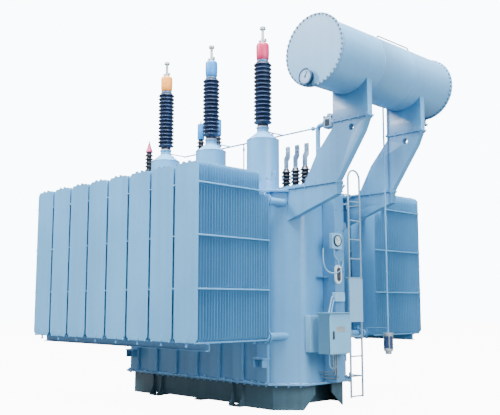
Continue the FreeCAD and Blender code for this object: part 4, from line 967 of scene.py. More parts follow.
COVER_BOLTS = 44
BOLT_INSET = 0.019
end_plates, end_bolts = [], []
rim_bolt = hex_bolt(0.026, 0.014)
for side, rim in ((-1, RIM_RADIUS), (1, FAR_RIM)):
    outward = Matrix.Rotation(side * math.radians(-90), 4, "X")
    facing = Matrix.Translation((axis_x, side * SHELL_END, axis_z)) @ outward
    disc = [
        (0, 0), (rim - 0.004, 0), (rim, 0.004), (rim, RIM_THICK - 0.004), (rim - 0.004, RIM_THICK),
        (0, RIM_THICK),
    ]
    end_plates.append(moved(turned(disc, 96), facing))
    ring = ring_of(rim_bolt, rim - BOLT_INSET, COVER_BOLTS, RIM_THICK - 0.001)
    ring += ring_of(rim_bolt, rim - BOLT_INSET, COVER_BOLTS, -RIM_THICK, (0, 0, -1))
    end_bolts += [moved(shape, facing) for shape in ring]
bolt_blue = enamel("bolt_blue", paint_colour(66, 100, 130), rough=0.4, dust=0.1)
piece("conservator_end_plates", end_plates, conservator_paint, "conservator_paint", ["conservator_covers"])
piece("conservator_end_bolts", end_bolts, bolt_blue, "conservator_paint")

DRAIN_Y = 1.34
drain_top = axis_z - SHELL_RADIUS + 0.01
DRAIN_STACK = (
    (0.09, 0.026, 0.10, 0), (0.075, 0.062, 0.02, 0.003), (0.125, 0.055, 0.045, 0.006),
    (0.15, 0.088, 0.014, 0.003),
)
DRAIN_SPINDLE = ((0.02, 0.014, 0.10, 0.002), (0.115, 0.034, 0.012, 0.003))
drain = []
for drop, radius, length, edge in DRAIN_STACK:
    drain.append(drum((axis_x, DRAIN_Y, drain_top - drop), (0, 0, 1), radius, length, edge))
for reach, radius, length, edge in DRAIN_SPINDLE:
    drain.append(drum((axis_x - reach, DRAIN_Y, drain_top - 0.115), (-1, 0, 0), radius, length, edge))
piece("conservator_drain", drain, bolt_blue, "relay_metal")

# ---------------------------------------------------------------- the oil gauge
# A dial level gauge low on the near cover: a cast housing with a bolted ring, a pale
# face behind glass with a plain scale, and a pointer.


def gauge_face(name, marks, radius, centre, axis, chip):
    """A pale dial with a dark plain scale round it."""
    dial = Finish(name)
    turns = {"x": (0, math.radians(90), 0), "y": (math.radians(90), 0, 0)}[axis]
    settings = {"vector_type": "TEXTURE"}
    placed = {"Vector": dial.place, "Location": centre, "Rotation": turns}
    local = dial.node("ShaderNodeMapping", settings, placed)
    u, v = dial.along(local, "X"), dial.along(local, "Y")
    angle = dial.sum("ARCTAN2", v, u)
    out = dial.sum("SQRT", u * u + v * v)
    wave = dial.sum("FRACT", angle * (marks / math.tau) + 0.5)
    tick = dial.sum("LESS_THAN", dial.sum("ABSOLUTE", wave - 0.5), 0.09)
    scale = dial.sum("GREATER_THAN", out, 0.68 * radius) * dial.sum("LESS_THAN", out, 0.88 * radius)
    ink = tick * scale
    tint = dial.cloud(30, 2)
    card = dial.mix(tint, paint_colour(*chip), toned(paint_colour(*chip), 1.15))
    inputs = {"Base Color": dial.mix(ink, card, paint_colour(24, 30, 36)), "Roughness": 0.3 + tint * 0.1}
    inputs["Coat Weight"] = 0.9
    return dial.done(inputs)


gauge_low, gauge_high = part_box("oil_gauge")
GAUGE_RADIUS = (gauge_high.x - gauge_low.x) / 2
gauge_depth = gauge_high.y - gauge_low.y
gauge_centre = Vector(((gauge_low.x + gauge_high.x) / 2, gauge_high.y, (gauge_low.z + gauge_high.z) / 2))
gauge_frame = Matrix.Translation(gauge_centre) @ Matrix.Rotation(math.radians(90), 4, "X")
body = turned([
    (0, 0), (GAUGE_RADIUS * 0.8, 0), (GAUGE_RADIUS * 0.8, 0.008), (GAUGE_RADIUS * 0.66, 0.014),
    (GAUGE_RADIUS * 0.66, gauge_depth - 0.036), (GAUGE_RADIUS - 0.004, gauge_depth - 0.032),
    (GAUGE_RADIUS, gauge_depth - 0.026), (GAUGE_RADIUS, gauge_depth - 0.006),
    (GAUGE_RADIUS - 0.006, gauge_depth),
    (GAUGE_RADIUS * 0.80, gauge_depth), (GAUGE_RADIUS * 0.77, gauge_depth - 0.010),
    (0, gauge_depth - 0.010)], 44)
gauge_metal = bare_metal("gauge_metal", paint_colour(56, 84, 112), rough=0.35)
ring_bolts = ring_of(hex_bolt(0.014, 0.006), GAUGE_RADIUS * 0.89, 8, gauge_depth - 0.002)
piece("oil_gauge_body", [moved(shape, gauge_frame) for shape in [body] + ring_bolts], gauge_metal,
      "gauge_metal", ["oil_gauge"])
dial_plane = gauge_low.y + 0.008
face_centre = (gauge_centre.x, dial_plane, gauge_centre.z)
face_paint = gauge_face("oil_dial_face", 24, GAUGE_RADIUS * 0.77, face_centre, "y", (128, 168, 204))
piece(
    "oil_gauge_dial", [drum(face_centre, TOWARDS, GAUGE_RADIUS * 0.77, 0.003, 0, 40)], face_paint,
    "gauge_metal",
)
needle = plate((-0.006, -0.002, -0.02), (0.006, 0.002, GAUGE_RADIUS * 0.62), 0.001)
needle_turn = Matrix.Rotation(math.radians(28), 4, "Y")
needle_place = Matrix.Translation((face_centre[0], dial_plane - 0.005, face_centre[2])) @ needle_turn
hub = drum((face_centre[0], dial_plane, face_centre[2]), TOWARDS, 0.014, 0.008, 0.002, 16)
needle_black = enamel("needle_black", paint_colour(30, 34, 40), rough=0.4, fade=0.04, dust=0.0)
piece("oil_gauge_needle", [moved(needle, needle_place), hub], needle_black, "gauge_metal")

# ---------------------------------------------------------------- conservator supports
# Two welded plate frames: a bracket on the tank corner, a leg that leans out and a
# saddle under the vessel, bolted together through joint plates. Painted with the tank.

JOINTS = ((4.38, 3.0, 3.62), (3.46, 2.2, 3.04))
JOINT_HALF = 0.014
JOINT_BOLTS = 5
BOLT_ROW = 0.062
for side in ("near", "far"):
    node = side + "_support"
    low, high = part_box(node)
    middle = (low.y + high.y) / 2
    joints = []
    for level, start, end in JOINTS:
        for across in (-BOLT_ROW, BOLT_ROW):
            for step in range(JOINT_BOLTS):
                x = start + (end - start) * step / (JOINT_BOLTS - 1)
                for up in (1, -1):
                    at = (x, middle + across, level + up * JOINT_HALF)
                    joints.append(moved(small_bolt, spot(at, (0, 0, up))))
    piece(node + "_frame", [steelwork(node, 0.006)], tank_paint, "tank_paint", [node])
    piece(node + "_bolts", joints, tank_paint, "tank_paint")

# ---------------------------------------------------------------- relay pipe and relay
# The pipe from the cover to the conservator, with bends and flanges, and the gas relay
# in it: a cast body with a sight window, a domed head and test cocks.

pipe_low, pipe_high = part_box("relay_pipe")
relay_low, relay_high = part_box("gas_relay")
RELAY_PIPE = (pipe_high.y - pipe_low.y) / 2
riser_x = pipe_low.x + RELAY_PIPE
relay_axis = relay_low.z + 0.085
outlet_x = pipe_high.x - RELAY_PIPE
inlet = tube(
    [(riser_x, 0, pipe_low.z), (riser_x, 0, relay_axis), (relay_low.x + 0.01, 0, relay_axis)],
    RELAY_PIPE, 0.075, 24,
)
outlet = tube(
    [(relay_high.x - 0.01, 0, relay_axis), (outlet_x, 0, relay_axis), (outlet_x, 0, pipe_high.z)],
    RELAY_PIPE, 0.09, 24,
)
flanges = [
    drum((riser_x, 0, cover_high.z), (0, 0, 1), 0.075, 0.022, 0.003),
    drum((outlet_x - 0.30, 0, relay_axis), (1, 0, 0), 0.072, 0.018, 0.003),
    drum((outlet_x - 0.28, 0, relay_axis), (1, 0, 0), 0.072, 0.018, 0.003),
]
flanges += [
    moved(shape, spot((riser_x, 0, cover_high.z)))
    for shape in ring_of(small_bolt, 0.059, 4, 0.021)
]
piece("relay_pipe_run", [inlet, outlet] + flanges, tank_paint, "tank_paint", ["relay_pipe"])
relay_paint = enamel("relay_paint", paint_colour(96, 132, 158), rough=0.35, dust=0.1)
relay_middle = (relay_low.x + relay_high.x) / 2
half_relay = (relay_high.x - relay_low.x) / 2
cast_low = (relay_low.x + 0.022, -0.072, relay_low.z)
cast_high = (relay_high.x - 0.022, 0.072, relay_axis + 0.1)
relay_body = plate(cast_low, cast_high, 0.014, 3)
relay_shapes = [
    relay_body,
    drum((relay_low.x, 0, relay_axis), (1, 0, 0), 0.072, 0.02, 0.003),
    drum((relay_high.x - 0.02, 0, relay_axis), (1, 0, 0), 0.072, 0.02, 0.003),
    plate(
        (relay_low.x + 0.012, -0.075, relay_axis + 0.095),
        (relay_high.x - 0.012, 0.075, relay_axis + 0.112), 0.004,
    ),
    moved(turned([(0, 0), (0.05, 0), (0.05, 0.04), (0.042, 0.052), (0.02, 0.058), (0, 0.058)], 24),
          spot((relay_middle, 0, relay_axis + 0.11))),
]
for step in (-1, 1):
    cock = (relay_middle + step * 0.055, 0.035, relay_axis + 0.11)
    relay_shapes.append(drum(cock, (0, 0, 1), 0.008, 0.04, 0.001, 12))
    for side in (-0.055, 0.055):
        head = (relay_middle + step * 0.075, side, relay_axis + 0.111)
        relay_shapes.append(moved(small_bolt, spot(head)))
    for turn in range(6):
        point = (0.056 * math.cos(math.tau * turn / 6), 0.056 * math.sin(math.tau * turn / 6))
        at = (relay_middle + step * (half_relay - 0.021), point[0], relay_axis + point[1])
        relay_shapes.append(moved(hex_bolt(0.018, 0.01), spot(at, (-step, 0, 0))))
piece("gas_relay_body", relay_shapes, relay_paint, "relay_metal", ["gas_relay"], corner=40)


def dark_glass(name, colour=(24, 34, 46)):
    """Glass over a dark inside: the pane's dark colour is painted shade for the unlit inside."""
    pane = Finish(name)
    haze = pane.cloud(22, 3)
    # Painted shade: the pane takes the dark of the unlit inside, with paler haze on the glass.
    shade = pane.mix(haze, paint_colour(*colour), toned(paint_colour(*colour), 1.9))
    return pane.done({"Base Color": shade, "Roughness": 0.05 + haze * 0.12, "Coat Weight": 1.0})


sight_glass = dark_glass("sight_glass")
window_low = (relay_middle - 0.045, -0.0745, relay_axis - 0.055)
window_high = (relay_middle + 0.045, -0.070, relay_axis + 0.06)
piece("gas_relay_window", [plate(window_low, window_high, 0.002)], sight_glass, "relay_metal")

# ---------------------------------------------------------------- gas collecting pipe
# A thin steel header with a branch to each bushing's neck, led on to the relay's riser,
# joined by small unions and held up by one post.

gas_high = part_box("gas_pipe")[1]
gas_shapes = [steelwork("gas_pipe", 0.0008)]
GAS_PIPE = 0.014
POST_X = 0.304
UNIONS = ((-0.75, 0.022), (0.62, 0.022), (1.97, 0.038))
header = gas_high.z - GAS_PIPE
for x, radius in UNIONS:
    gas_shapes.append(drum((x, 0, header), (1, 0, 0), radius, 0.035, 0.003, 12))
gas_shapes.append(drum((POST_X, 0, header - 0.13), (0, 0, 1), 0.02, 0.05, 0.003, 12))
piece("gas_pipe_run", gas_shapes, tank_paint, "tank_paint", ["gas_pipe"])

# ---------------------------------------------------------------- breather
# The pipe that the conservator breathes through, and the drier hung from it: a flanged
# glass cylinder of dark blue beads between metal ends, with an oil cup under it.

dry_low, dry_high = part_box("breather")
DRY_RADIUS = (dry_high.x - dry_low.x) / 2 - 0.014
dry_at = Vector(((dry_low.x + dry_high.x) / 2, (dry_low.y + dry_high.y) / 2, dry_low.z))
DRY_HEIGHT = dry_high.z - dry_low.z
CLIP_LEVELS = (1.42, 2.1, 3.0, 3.9)
breath_shapes = [steelwork("breather_pipe", 0.0008)]
for level in CLIP_LEVELS:
    breath_shapes.append(drum((dry_at.x, dry_at.y, level), (0, 0, 1), 0.021, 0.05, 0.003, 14))
piece("breather_pipe_run", breath_shapes, tank_paint, "tank_paint", ["breather_pipe"])
bead_colour = Finish("silica_beads")
cells = bead_colour.node("ShaderNodeTexVoronoi", {}, {"Vector": bead_colour.place, "Scale": 190})
# Painted shade: each bead is paler at its middle and darker towards its edge, for the shade in the gaps
# between beads.
beads_and_painted_gap_shade = bead_colour.mix(cells, paint_colour(34, 66, 122), paint_colour(14, 24, 52))
silica_beads = bead_colour.done(
    {"Base Color": beads_and_painted_gap_shade, "Roughness": 0.1 + cells * 0.2, "Coat Weight": 1.0}, cells, 0.002,
)
dry_metal = turned([
    (0, 0), (DRY_RADIUS * 0.6, 0), (DRY_RADIUS * 0.70, 0.008), (DRY_RADIUS * 0.72, 0.045),
    (DRY_RADIUS, 0.05),
    (DRY_RADIUS, 0.085), (DRY_RADIUS * 0.9, 0.09), (0, 0.09)], 32)
dry_head = turned([
    (0, DRY_HEIGHT - 0.055), (DRY_RADIUS * 0.9, DRY_HEIGHT - 0.055), (DRY_RADIUS, DRY_HEIGHT - 0.05),
    (DRY_RADIUS, DRY_HEIGHT - 0.022), (DRY_RADIUS + 0.014, DRY_HEIGHT - 0.02),
    (DRY_RADIUS + 0.014, DRY_HEIGHT),
    (0, DRY_HEIGHT)], 32)
dry_jar = turned(
    [
        (0, 0.086), (DRY_RADIUS * 0.93, 0.086), (DRY_RADIUS * 0.93, DRY_HEIGHT - 0.05),
        (0, DRY_HEIGHT - 0.05),
    ],
    32,
)
ROD_TURNS = (0.8, 2.37, 3.94, 5.5)
dry_rods = []
for t in ROD_TURNS:
    foot = (DRY_RADIUS * math.cos(t), DRY_RADIUS * math.sin(t), 0.07)
    dry_rods.append(drum(foot, (0, 0, 1), 0.006, DRY_HEIGHT - 0.11, 0, 8))
stand = Matrix.Translation(dry_at)
ends = [dry_metal, dry_head] + dry_rods + ring_of(
    hex_bolt(0.014, 0.008), DRY_RADIUS + 0.002, 8, DRY_HEIGHT - 0.02, (0, 0, -1),
)
piece("breather_ends", [moved(shape, stand) for shape in ends], zinc, "relay_metal")
piece("breather_jar", [moved(dry_jar, stand)], silica_beads, "breather_plastic", ["breather"])

# ---------------------------------------------------------------- end wall duct
# A folded sheet duct up the end wall that the instrument cables run in, with a bolted
# front cover, a flat cable tray across to the ladder and a small shelf.

duct_low, duct_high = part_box("end_wall_duct")
DUCT_FACE = duct_high.x
DUCT_LEFT, DUCT_RIGHT = -0.06, 0.16
duct_shapes = [steelwork("end_wall_duct", 0.008)]
lid_gap = 0.012
LIDS = ((duct_low.z + 0.03, 0.86), (1.51, 2.3), (2.32, duct_high.z - 0.03))
for low, high in LIDS:
    lid_low = (DUCT_FACE - 0.002, DUCT_LEFT + lid_gap, low)
    duct_shapes.append(plate(lid_low, (DUCT_FACE + 0.004, DUCT_RIGHT - lid_gap, high), 0.002))
lid_bolts = []
LID_BOLT_PITCH = 0.33
level = duct_low.z + 0.08
while level < duct_high.z - 0.06:
    for y in (DUCT_LEFT + 0.03, DUCT_RIGHT - 0.03):
        lid_bolts.append(moved(hex_bolt(0.018, 0.008), spot((DUCT_FACE + 0.003, y, level), (1, 0, 0))))
    level += LID_BOLT_PITCH
duct_paint = enamel("duct_paint", paint_colour(84, 142, 186), rough=0.36, dust=0.3)
piece("duct_body", duct_shapes, duct_paint, "tank_paint", ["end_wall_duct"])
piece("duct_bolts", lid_bolts, bolt_blue, "tank_paint")

# ---------------------------------------------------------------- duct instruments
# A dial thermometer in a square housing, a round-cornered sight window in a pale ring
# and a small junction box, all screwed to the duct, with capillaries to the dial.

HOUSING_LOW, HOUSING_HIGH = (DUCT_FACE, -0.20, 2.50), (DUCT_FACE + 0.06, 0.04, 2.75)
DIAL_RADIUS = 0.092
dial_at = Vector((HOUSING_HIGH[0], -0.08, 2.63))
dial_frame = Matrix.Translation(dial_at) @ Matrix.Rotation(math.radians(90), 4, "Y")
box_blue = enamel("box_blue", paint_colour(132, 182, 214), rough=0.32, fade=0.06, dust=0.12)
bezel = turned([
    (0, 0), (DIAL_RADIUS, 0), (DIAL_RADIUS, 0.018), (DIAL_RADIUS - 0.006, 0.024),
    (DIAL_RADIUS * 0.84, 0.024),
    (DIAL_RADIUS * 0.80, 0.014), (0, 0.014)], 36)
window_low, window_high = Vector((DUCT_FACE, -0.095, 1.95)), Vector((DUCT_FACE + 0.038, 0.065, 2.25))


def rounded_block(low, high, corner, edge, segments=6):
    """A block whose four corners, seen from the end, are round."""
    low, high = Vector(low), Vector(high)
    bm = bmesh.new()
    size = Matrix.Diagonal((*(high - low), 1))
    bmesh.ops.create_cube(bm, size=1, matrix=Matrix.Translation((low + high) / 2) @ size)
    depthwise = [e for e in bm.edges if abs(e.verts[0].co.x - e.verts[1].co.x) > MERGE]
    bmesh.ops.bevel(bm, geom=depthwise, offset=corner, offset_type="OFFSET", segments=segments,
                    profile=0.5, affect="EDGES", clamp_overlap=True, material=-1)
    ease(bm, edge, 1, lambda e: e.calc_face_angle() > math.radians(60))
    return pattern(bm)


instrument_shapes = [
    rounded_block(HOUSING_LOW, HOUSING_HIGH, 0.02, 0.004),
    rounded_block((DUCT_FACE, -0.15, 1.67), (DUCT_FACE + 0.066, 0.09, 1.815), 0.012, 0.004),
    rounded_block((DUCT_FACE + 0.066, -0.146, 1.674), (DUCT_FACE + 0.07, 0.086, 1.811), 0.010, 0.001),
]
for y in (-0.13, 0.07):
    for z in (1.69, 1.795):
        instrument_shapes.append(drum((DUCT_FACE + 0.0695, y, z), (1, 0, 0), 0.007, 0.003, 0, 10))
piece("instrument_boxes", instrument_shapes, box_blue, "box_paint", ["duct_instruments"])
piece("thermometer_bezel", [moved(bezel, dial_frame)], gauge_metal, "gauge_metal")
dial_face_at = (dial_at.x + 0.0135, dial_at.y, dial_at.z)
thermometer_face = gauge_face("thermometer_face", 30, DIAL_RADIUS * 0.8, dial_face_at, "x", (200, 212, 220))
piece(
    "thermometer_dial", [drum(dial_face_at, (1, 0, 0), DIAL_RADIUS * 0.8, 0.003, 0, 36)],
    thermometer_face, "gauge_metal",
)
pointer = plate((-0.002, -0.004, -0.012), (0.002, 0.004, DIAL_RADIUS * 0.62), 0.001)
pointer_turn = Matrix.Rotation(math.radians(52), 4, "X")
pointer_place = Matrix.Translation((dial_at.x + 0.019, dial_at.y, dial_at.z)) @ pointer_turn
piece("thermometer_pointer", [moved(pointer, pointer_place)], needle_black, "gauge_metal")
pale_plastic = enamel("pale_ring", paint_colour(214, 224, 230), rough=0.3, fade=0.04, dust=0.1)
ring_shapes = [
    rounded_block(window_low, (window_high.x - 0.006, window_high.y, window_high.z), 0.078, 0.005, 10)
]
piece("sight_window_ring", ring_shapes, pale_plastic, "gauge_metal")
pane_low = (window_high.x - 0.008, window_low.y + 0.034, window_low.z + 0.04)
pane_high = (window_high.x, window_high.y - 0.034, window_high.z - 0.04)
piece(
    "sight_window_pane", [rounded_block(pane_low, pane_high, 0.045, 0.002, 10)], sight_glass,
    "gauge_metal",
)

cable_x = DUCT_FACE + 0.03
cables = [
    tube(
        [(cable_x, -0.39, 2.50), (cable_x, -0.39, 2.12), (cable_x, 0.09, 2.12), (cable_x, 0.09, 2.27)],
        0.011, 0.2, 10, 8,
    ),
    tube(
        [(cable_x, -0.12, 2.52), (cable_x, -0.12, 2.40), (cable_x, -0.02, 2.30), (cable_x, -0.02, 2.2)],
        0.008, 0.04, 10,
    ),
    tube([(cable_x, -0.14, 1.75), (cable_x, -0.19, 1.75), (cable_x, -0.27, 1.50)], 0.010, 0.03, 10),
    tube([(cable_x, -0.14, 1.71), (cable_x, -0.15, 1.71), (cable_x, -0.21, 1.50)], 0.010, 0.006, 10),
    tube(
        [
            (cable_x, -0.27, 0.87), (cable_x, -0.27, 0.64), (cable_x, -0.08, 0.64),
            (cable_x, -0.08, 0.87),
        ],
        0.009, 0.09, 10, 8,
    ),
]
piece("instrument_cables", cables, box_blue, "box_paint")

# ---------------------------------------------------------------- relief valve
# The spring-loaded pressure relief valve on the cover: a bolted foot, a ribbed body
# and a shallow hat.

valve_low, valve_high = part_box("relief_valve")
valve_at = ((valve_low.x + valve_high.x) / 2, (valve_low.y + valve_high.y) / 2, valve_low.z)
relief = turned([
    (0, 0), (0.105, 0), (0.105, 0.026), (0.1, 0.03), (0.06, 0.034), (0.06, 0.075), (0.085, 0.08),
    (0.088, 0.09),
    (0.078, 0.10), (0.078, 0.20), (0.092, 0.21), (0.092, 0.25), (0.088, 0.256), (0.062, 0.29),
    (0.03, 0.295), (0, 0.295)], 36)
relief_shapes = [relief] + ring_of(small_bolt, 0.087, 8, 0.029)
piece(
    "relief_valve_body", [moved(shape, spot(valve_at)) for shape in relief_shapes], tank_paint,
    "tank_paint", ["relief_valve"],
)

# ---------------------------------------------------------------- the ladder
# Two round rails joined over the top by a hoop, round rungs, stand-offs to the wall
# and a hinged sheet guard over the lower rungs that keeps people off when locked.

ladder_low, ladder_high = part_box("ladder")
RAIL_RADIUS = 0.017
LADDER_MIDDLE = (ladder_low.y + ladder_high.y) / 2
RAIL_HALF = 0.15
RUNG_PITCH = 0.314
RUNG_RADIUS = 0.012
BRACE_RISES = (0.33, 1.9, 3.11)
left, right = LADDER_MIDDLE - RAIL_HALF, LADDER_MIDDLE + RAIL_HALF
HOOP_TOP = ladder_high.z - RAIL_RADIUS
STAND_OFF = 0.257
rail_x = tank_high.x + STAND_OFF
rails = tube([(rail_x, left, ladder_low.z), (rail_x, left, HOOP_TOP), (rail_x, right, HOOP_TOP),
              (rail_x, right, ladder_low.z)], RAIL_RADIUS, RAIL_HALF - 0.001, 16, 8)
ladder_shapes = [rails]
level = ladder_low.z + 0.02
while level < HOOP_TOP - 0.3:
    ladder_shapes.append(drum((rail_x, left, level), (0, 1, 0), RUNG_RADIUS, 2 * RAIL_HALF, 0, 12))
    level += RUNG_PITCH
for y in (left, right):
    for rise in BRACE_RISES:
        at = Vector((tank_high.x - 0.004, y, ladder_low.z + rise))
        ladder_shapes.append(drum(at, (1, 0, 0), RUNG_RADIUS, STAND_OFF, 0, 12))
        ladder_shapes.append(plate(at - Vector((0, 0.03, 0.04)), at + Vector((0.014, 0.03, 0.04)), 0.002))
ladder_steel = enamel("ladder_paint", paint_colour(124, 156, 178), rough=0.3, fade=0.08, dust=0.35)
piece("ladder_frame", ladder_shapes, ladder_steel, "ladder_steel", ["ladder"], corner=40)
GUARD_LOW, GUARD_HIGH = 1.345, 2.045
guard_x = rail_x + RAIL_RADIUS - 0.004
guard = [plate((guard_x, ladder_low.y, GUARD_LOW), (guard_x + 0.004, ladder_high.y, GUARD_HIGH), 0.001)]
for y in (ladder_low.y, ladder_high.y - 0.004):
    guard.append(plate((guard_x - 0.03, y, GUARD_LOW), (guard_x + 0.004, y + 0.004, GUARD_HIGH), 0.001))
for z in (GUARD_LOW + 0.13, GUARD_HIGH - 0.13):
    guard.append(drum((rail_x, ladder_high.y - 0.006, z - 0.05), (0, 0, 1), 0.011, 0.10, 0.002, 12))
hasp_low = (guard_x, ladder_low.y + 0.02, 1.66)
guard.append(plate(hasp_low, (guard_x + 0.008, ladder_low.y + 0.07, 1.74), 0.002))
piece("ladder_guard", guard, box_blue, "ladder_steel")

# ---------------------------------------------------------------- the control box
# A folded sheet steel cabinet under a rain roof, screwed to the duct, with terminal
# strips inside on a galvanised plate and glands for the cables underneath.

case_low, case_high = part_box("control_box")
door_low, door_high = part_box("control_box_door")
box_paint = enamel("cabinet_paint", paint_colour(120, 178, 212), rough=0.30, fade=0.05, dust=0.18)
case_shapes = [steelwork("control_box", 0.0025)]
DOOR_BACK = door_low.x
CASE_LEFT, CASE_RIGHT = door_low.y, 0.010
gasket = []
for low, high in (
    (
        (DOOR_BACK - 0.016, CASE_LEFT + 0.006, case_low.z + 0.012),
        (DOOR_BACK - 0.007, CASE_LEFT + 0.018, case_high.z - 0.026),
    ),
    (
        (DOOR_BACK - 0.016, CASE_RIGHT - 0.018, case_low.z + 0.012),
        (DOOR_BACK - 0.007, CASE_RIGHT - 0.006, case_high.z - 0.026),
    ),
    (
        (DOOR_BACK - 0.016, CASE_LEFT + 0.018, case_low.z + 0.006),
        (DOOR_BACK - 0.007, CASE_RIGHT - 0.018, case_low.z + 0.018),
    ),
):
    gasket.append(plate(low, high, 0.002))
rubber = enamel("door_gasket", paint_colour(34, 36, 38), rough=0.6, fade=0.1, dust=0.1)
piece("cabinet_case", case_shapes, box_paint, "box_paint", ["control_box"])
piece("cabinet_gasket", gasket, rubber, "box_paint")
BACK_X = duct_high.x + 0.012
plate_low = (BACK_X, CASE_LEFT + 0.04, case_low.z + 0.05)
plate_high = (BACK_X + 0.004, CASE_RIGHT - 0.04, case_high.z - 0.06)
back_plate = [plate(plate_low, plate_high, 0.001)]
strips, fittings = [], []
STRIP_ROWS, STRIP_BLOCKS = 3, 16
STRIP_PITCH = 0.15
BLOCK_PITCH = 0.023
for row in range(STRIP_ROWS):
    level = case_low.z + 0.13 + row * STRIP_PITCH
    rail_low = (BACK_X + 0.004, CASE_LEFT + 0.06, level - 0.004)
    back_plate.append(plate(rail_low, (BACK_X + 0.012, CASE_RIGHT - 0.06, level + 0.028), 0.001))
    for number in range(STRIP_BLOCKS):
        y = CASE_LEFT + 0.07 + number * BLOCK_PITCH
        block_high = (BACK_X + 0.05, y + 0.02, level + 0.04)
        strips.append(plate((BACK_X + 0.012, y, level - 0.016), block_high, 0.002))
        fittings.append(drum((BACK_X + 0.049, y + 0.01, level + 0.022), (1, 0, 0), 0.005, 0.003, 0, 8))
strip_grey = enamel("terminal_strip", paint_colour(150, 152, 146), rough=0.5, fade=0.08, dust=0.1)
piece("cabinet_back_plate", back_plate + fittings, zinc, "terminal_metal")
piece("cabinet_terminals", strips, strip_grey, "box_paint")
glands = []
CABLES = 3
CABLE_FIRST, CABLE_PITCH = -0.10, 0.045
for number in range(CABLES):
    y = CABLE_FIRST - CABLE_PITCH * number
    glands.append(drum((DUCT_FACE + 0.04, y, case_low.z), (0, 0, -1), 0.018, 0.03, 0.003, 6))
piece("cabinet_glands", glands, zinc, "conduit_metal")

# ---------------------------------------------------------------- the cabinet door
# A folded sheet door on two pin hinges, with a sunk margin, a swing handle on its
# free edge, and a bare label plate. It rides on its own body.

DOOR_FRONT = DOOR_BACK + 0.02
DOOR_TOP = door_high.z
DOOR_RIGHT = 0.004
pan = rounded_block(
    (DOOR_BACK, door_low.y, door_low.z), (DOOR_FRONT, DOOR_RIGHT, DOOR_TOP), 0.008, 0.004, 3,
)
rim_width = 0.022
field = rounded_block((DOOR_FRONT - 0.001, door_low.y + rim_width, door_low.z + rim_width),
                      (DOOR_FRONT + 0.002, DOOR_RIGHT - rim_width, DOOR_TOP - rim_width), 0.012, 0.0015, 4)
door_shapes = [pan, field]
hinge_y = case_high.y - 0.005
hinge_x = DOOR_BACK + 0.01
for share in (0.2, 0.8):
    level = case_low.z + share * 0.615
    door_shapes.append(drum((hinge_x, hinge_y, level - 0.03), (0, 0, 1), 0.010, 0.06, 0.001, 18))
    leaf_low = (hinge_x - 0.003, hinge_y - 0.024, level - 0.03)
    door_shapes.append(plate(leaf_low, (hinge_x + 0.005, hinge_y, level + 0.03), 0.001))
piece("door_panel", door_shapes, box_paint, "box_paint", ["control_box_door"], body="door", corner=40)
HANDLE_LOW = Vector((DOOR_FRONT, door_low.y + 0.060, case_low.z + 0.23))
HANDLE_HIGH = HANDLE_LOW + Vector((0.024, 0.026, 0.11))
handle_shapes = [
    rounded_block(
        HANDLE_LOW + Vector((0, -0.006, -0.012)),
        (HANDLE_LOW.x + 0.006, HANDLE_HIGH.y + 0.006, HANDLE_HIGH.z + 0.012), 0.012, 0.001, 4,
    ),
    drum(
        (HANDLE_LOW.x + 0.004, (HANDLE_LOW.y + HANDLE_HIGH.y) / 2, HANDLE_HIGH.z - 0.016), (1, 0, 0),
        0.012, 0.012, 0.002, 18,
    ),
    rounded_block(
        (HANDLE_LOW.x + 0.014, HANDLE_LOW.y + 0.004, HANDLE_LOW.z),
        (HANDLE_HIGH.x, HANDLE_HIGH.y - 0.004, HANDLE_HIGH.z), 0.008, 0.002, 4,
    ),
]
handle_black = enamel("handle_black", paint_colour(52, 64, 74), rough=0.35, fade=0.06, dust=0.05)
piece("door_handle", handle_shapes, handle_black, "terminal_metal", body="door")
LABEL_LEFT, LABEL_RIGHT = -0.36, -0.14
LABEL_LOW, LABEL_HIGH = 1.21, 1.29
label_low = (DOOR_FRONT + 0.0015, LABEL_LEFT, LABEL_LOW)
label = rounded_block(label_low, (DOOR_FRONT + 0.004, LABEL_RIGHT, LABEL_HIGH), 0.006, 0.0008, 3)
label_metal = bare_metal("label_plate", paint_colour(196, 204, 208), rough=0.28, brushed=(1, 0.1, 1))
piece("door_label_plate", [label], label_metal, "terminal_metal", body="door")

# ---------------------------------------------------------------- the terminal box
# A second, plain box on the end wall for the current transformer leads, with a screwed
# lid.

term_low, term_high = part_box("terminal_box")
lid_x = term_high.x - 0.012
term_shapes = [
    rounded_block(term_low, (lid_x - 0.002, term_high.y, term_high.z), 0.008, 0.003, 3),
    rounded_block(
        (lid_x, term_low.y, term_low.z), (term_high.x, term_high.y, term_high.z), 0.010, 0.003, 3,
    ),
    rounded_block(
        (lid_x - 0.003, term_low.y + 0.008, term_low.z + 0.008),
        (lid_x + 0.001, term_high.y - 0.008, term_high.z - 0.008), 0.006, 0.0005, 2,
    ),
]
for y in (term_low.y + 0.02, term_high.y - 0.02):
    for share in (0.04, 0.35, 0.65, 0.96):
        z = term_low.z + share * (term_high.z - term_low.z)
        term_shapes.append(drum((term_high.x - 0.001, y, z), (1, 0, 0), 0.007, 0.001, 0, 8))
piece("terminal_box_body", term_shapes, box_paint, "box_paint", ["terminal_box"])

# ---------------------------------------------------------------- the conduits
# Galvanised conduits from the tank wall, bent up into the underside of the cabinet.

cond_low, cond_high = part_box("conduits")
conduit_steel = bare_metal("conduit_steel", paint_colour(150, 164, 172), rough=0.38)
conduit_shapes = []
CONDUIT = 0.011
x = DUCT_FACE + 0.04
for number in range(CABLES):
    y = CABLE_FIRST - CABLE_PITCH * number
    level = cond_low.z + CONDUIT + 0.05 * number
    route = [(tank_high.x - 0.005, y, level), (x, y, level), (x, y, cond_high.z)]
    conduit_shapes.append(tube(route, CONDUIT, 0.05, 12))
piece("conduit_runs", conduit_shapes, conduit_steel, "conduit_metal", ["conduits"])

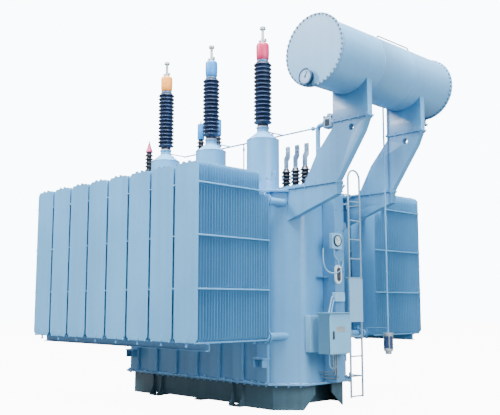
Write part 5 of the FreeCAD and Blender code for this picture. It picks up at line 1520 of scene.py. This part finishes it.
# ---------------------------------------------------------------- floor, light, camera
# A plain pale floor, a large soft key from the upper left, softer fills, and a camera
# low down in front of the ladder end. Floor and sky look white but send little light back.

FLOOR_HALF = 60
bm = bmesh.new()
bmesh.ops.create_grid(bm, x_segments=1, y_segments=1, size=FLOOR_HALF)
floor_mesh = bpy.data.meshes.new("floor")
bm.to_mesh(floor_mesh)
bm.free()
floor = bpy.data.objects.new("floor", floor_mesh)
bpy.context.collection.objects.link(floor)
ground = Finish("pale_floor")
mottle = ground.cloud(0.5, 3)
floor_tone = ground.mix(mottle, (0.10, 0.12, 0.13, 1), (0.13, 0.15, 0.16, 1))
seen = ground.node("ShaderNodeLightPath", outlet="Is Camera Ray")
glow = ground.mix(seen, (0, 0, 0, 1), (1, 1, 1, 1))
floor_inputs = {"Base Color": floor_tone, "Roughness": 0.8 + mottle * 0.1}
floor_inputs.update({"Emission Color": glow, "Emission Strength": 11.0})
floor_mesh.materials.append(ground.done(floor_inputs))

world = bpy.data.worlds.new("studio")
bpy.context.scene.world = world
world.use_nodes = True
sky = world.node_tree.nodes["Background"]
sky.inputs["Color"].default_value = (0.86, 0.93, 1.0, 1)
rays = world.node_tree.nodes.new("ShaderNodeLightPath")
strength = world.node_tree.nodes.new("ShaderNodeMapRange")
strength.inputs["To Min"].default_value = 0.9
strength.inputs["To Max"].default_value = 12.0
world.node_tree.links.new(rays.outputs["Is Camera Ray"], strength.inputs["Value"])
world.node_tree.links.new(strength.outputs["Result"], sky.inputs["Strength"])


def soft_light(name, spot_at, aim, size, power, colour):
    """A large square lamp that looks at a point."""
    lamp = bpy.data.lights.new(name, "AREA")
    lamp.size = size
    lamp.energy = power
    lamp.color = colour
    holder = bpy.data.objects.new(name, lamp)
    bpy.context.collection.objects.link(holder)
    holder.location = spot_at
    holder.rotation_euler = (Vector(aim) - Vector(spot_at)).to_track_quat("-Z", "Y").to_euler()


MIDDLE = (0, 0, 2.6)
soft_light("key", (-10, -15, 18), MIDDLE, 8, 9000, (1.0, 0.98, 0.97))
soft_light("top", (4, -4, 20), MIDDLE, 12, 19000, (1.0, 0.99, 0.98))
soft_light("side", (16, -2, 8), MIDDLE, 8, 2600, (0.84, 0.93, 1.0))

lens = bpy.data.cameras.new("camera")
lens.sensor_width = 36
lens.lens = 53.67
lens.shift_x = -0.0032
lens.shift_y = 0.0036
viewer = bpy.data.objects.new("camera", lens)
bpy.context.collection.objects.link(viewer)
viewer.location = (10.016, -9.338, 1.612)
viewer.rotation_euler = (math.radians(97.34), 0, math.radians(45.518))
bpy.context.scene.camera = viewer
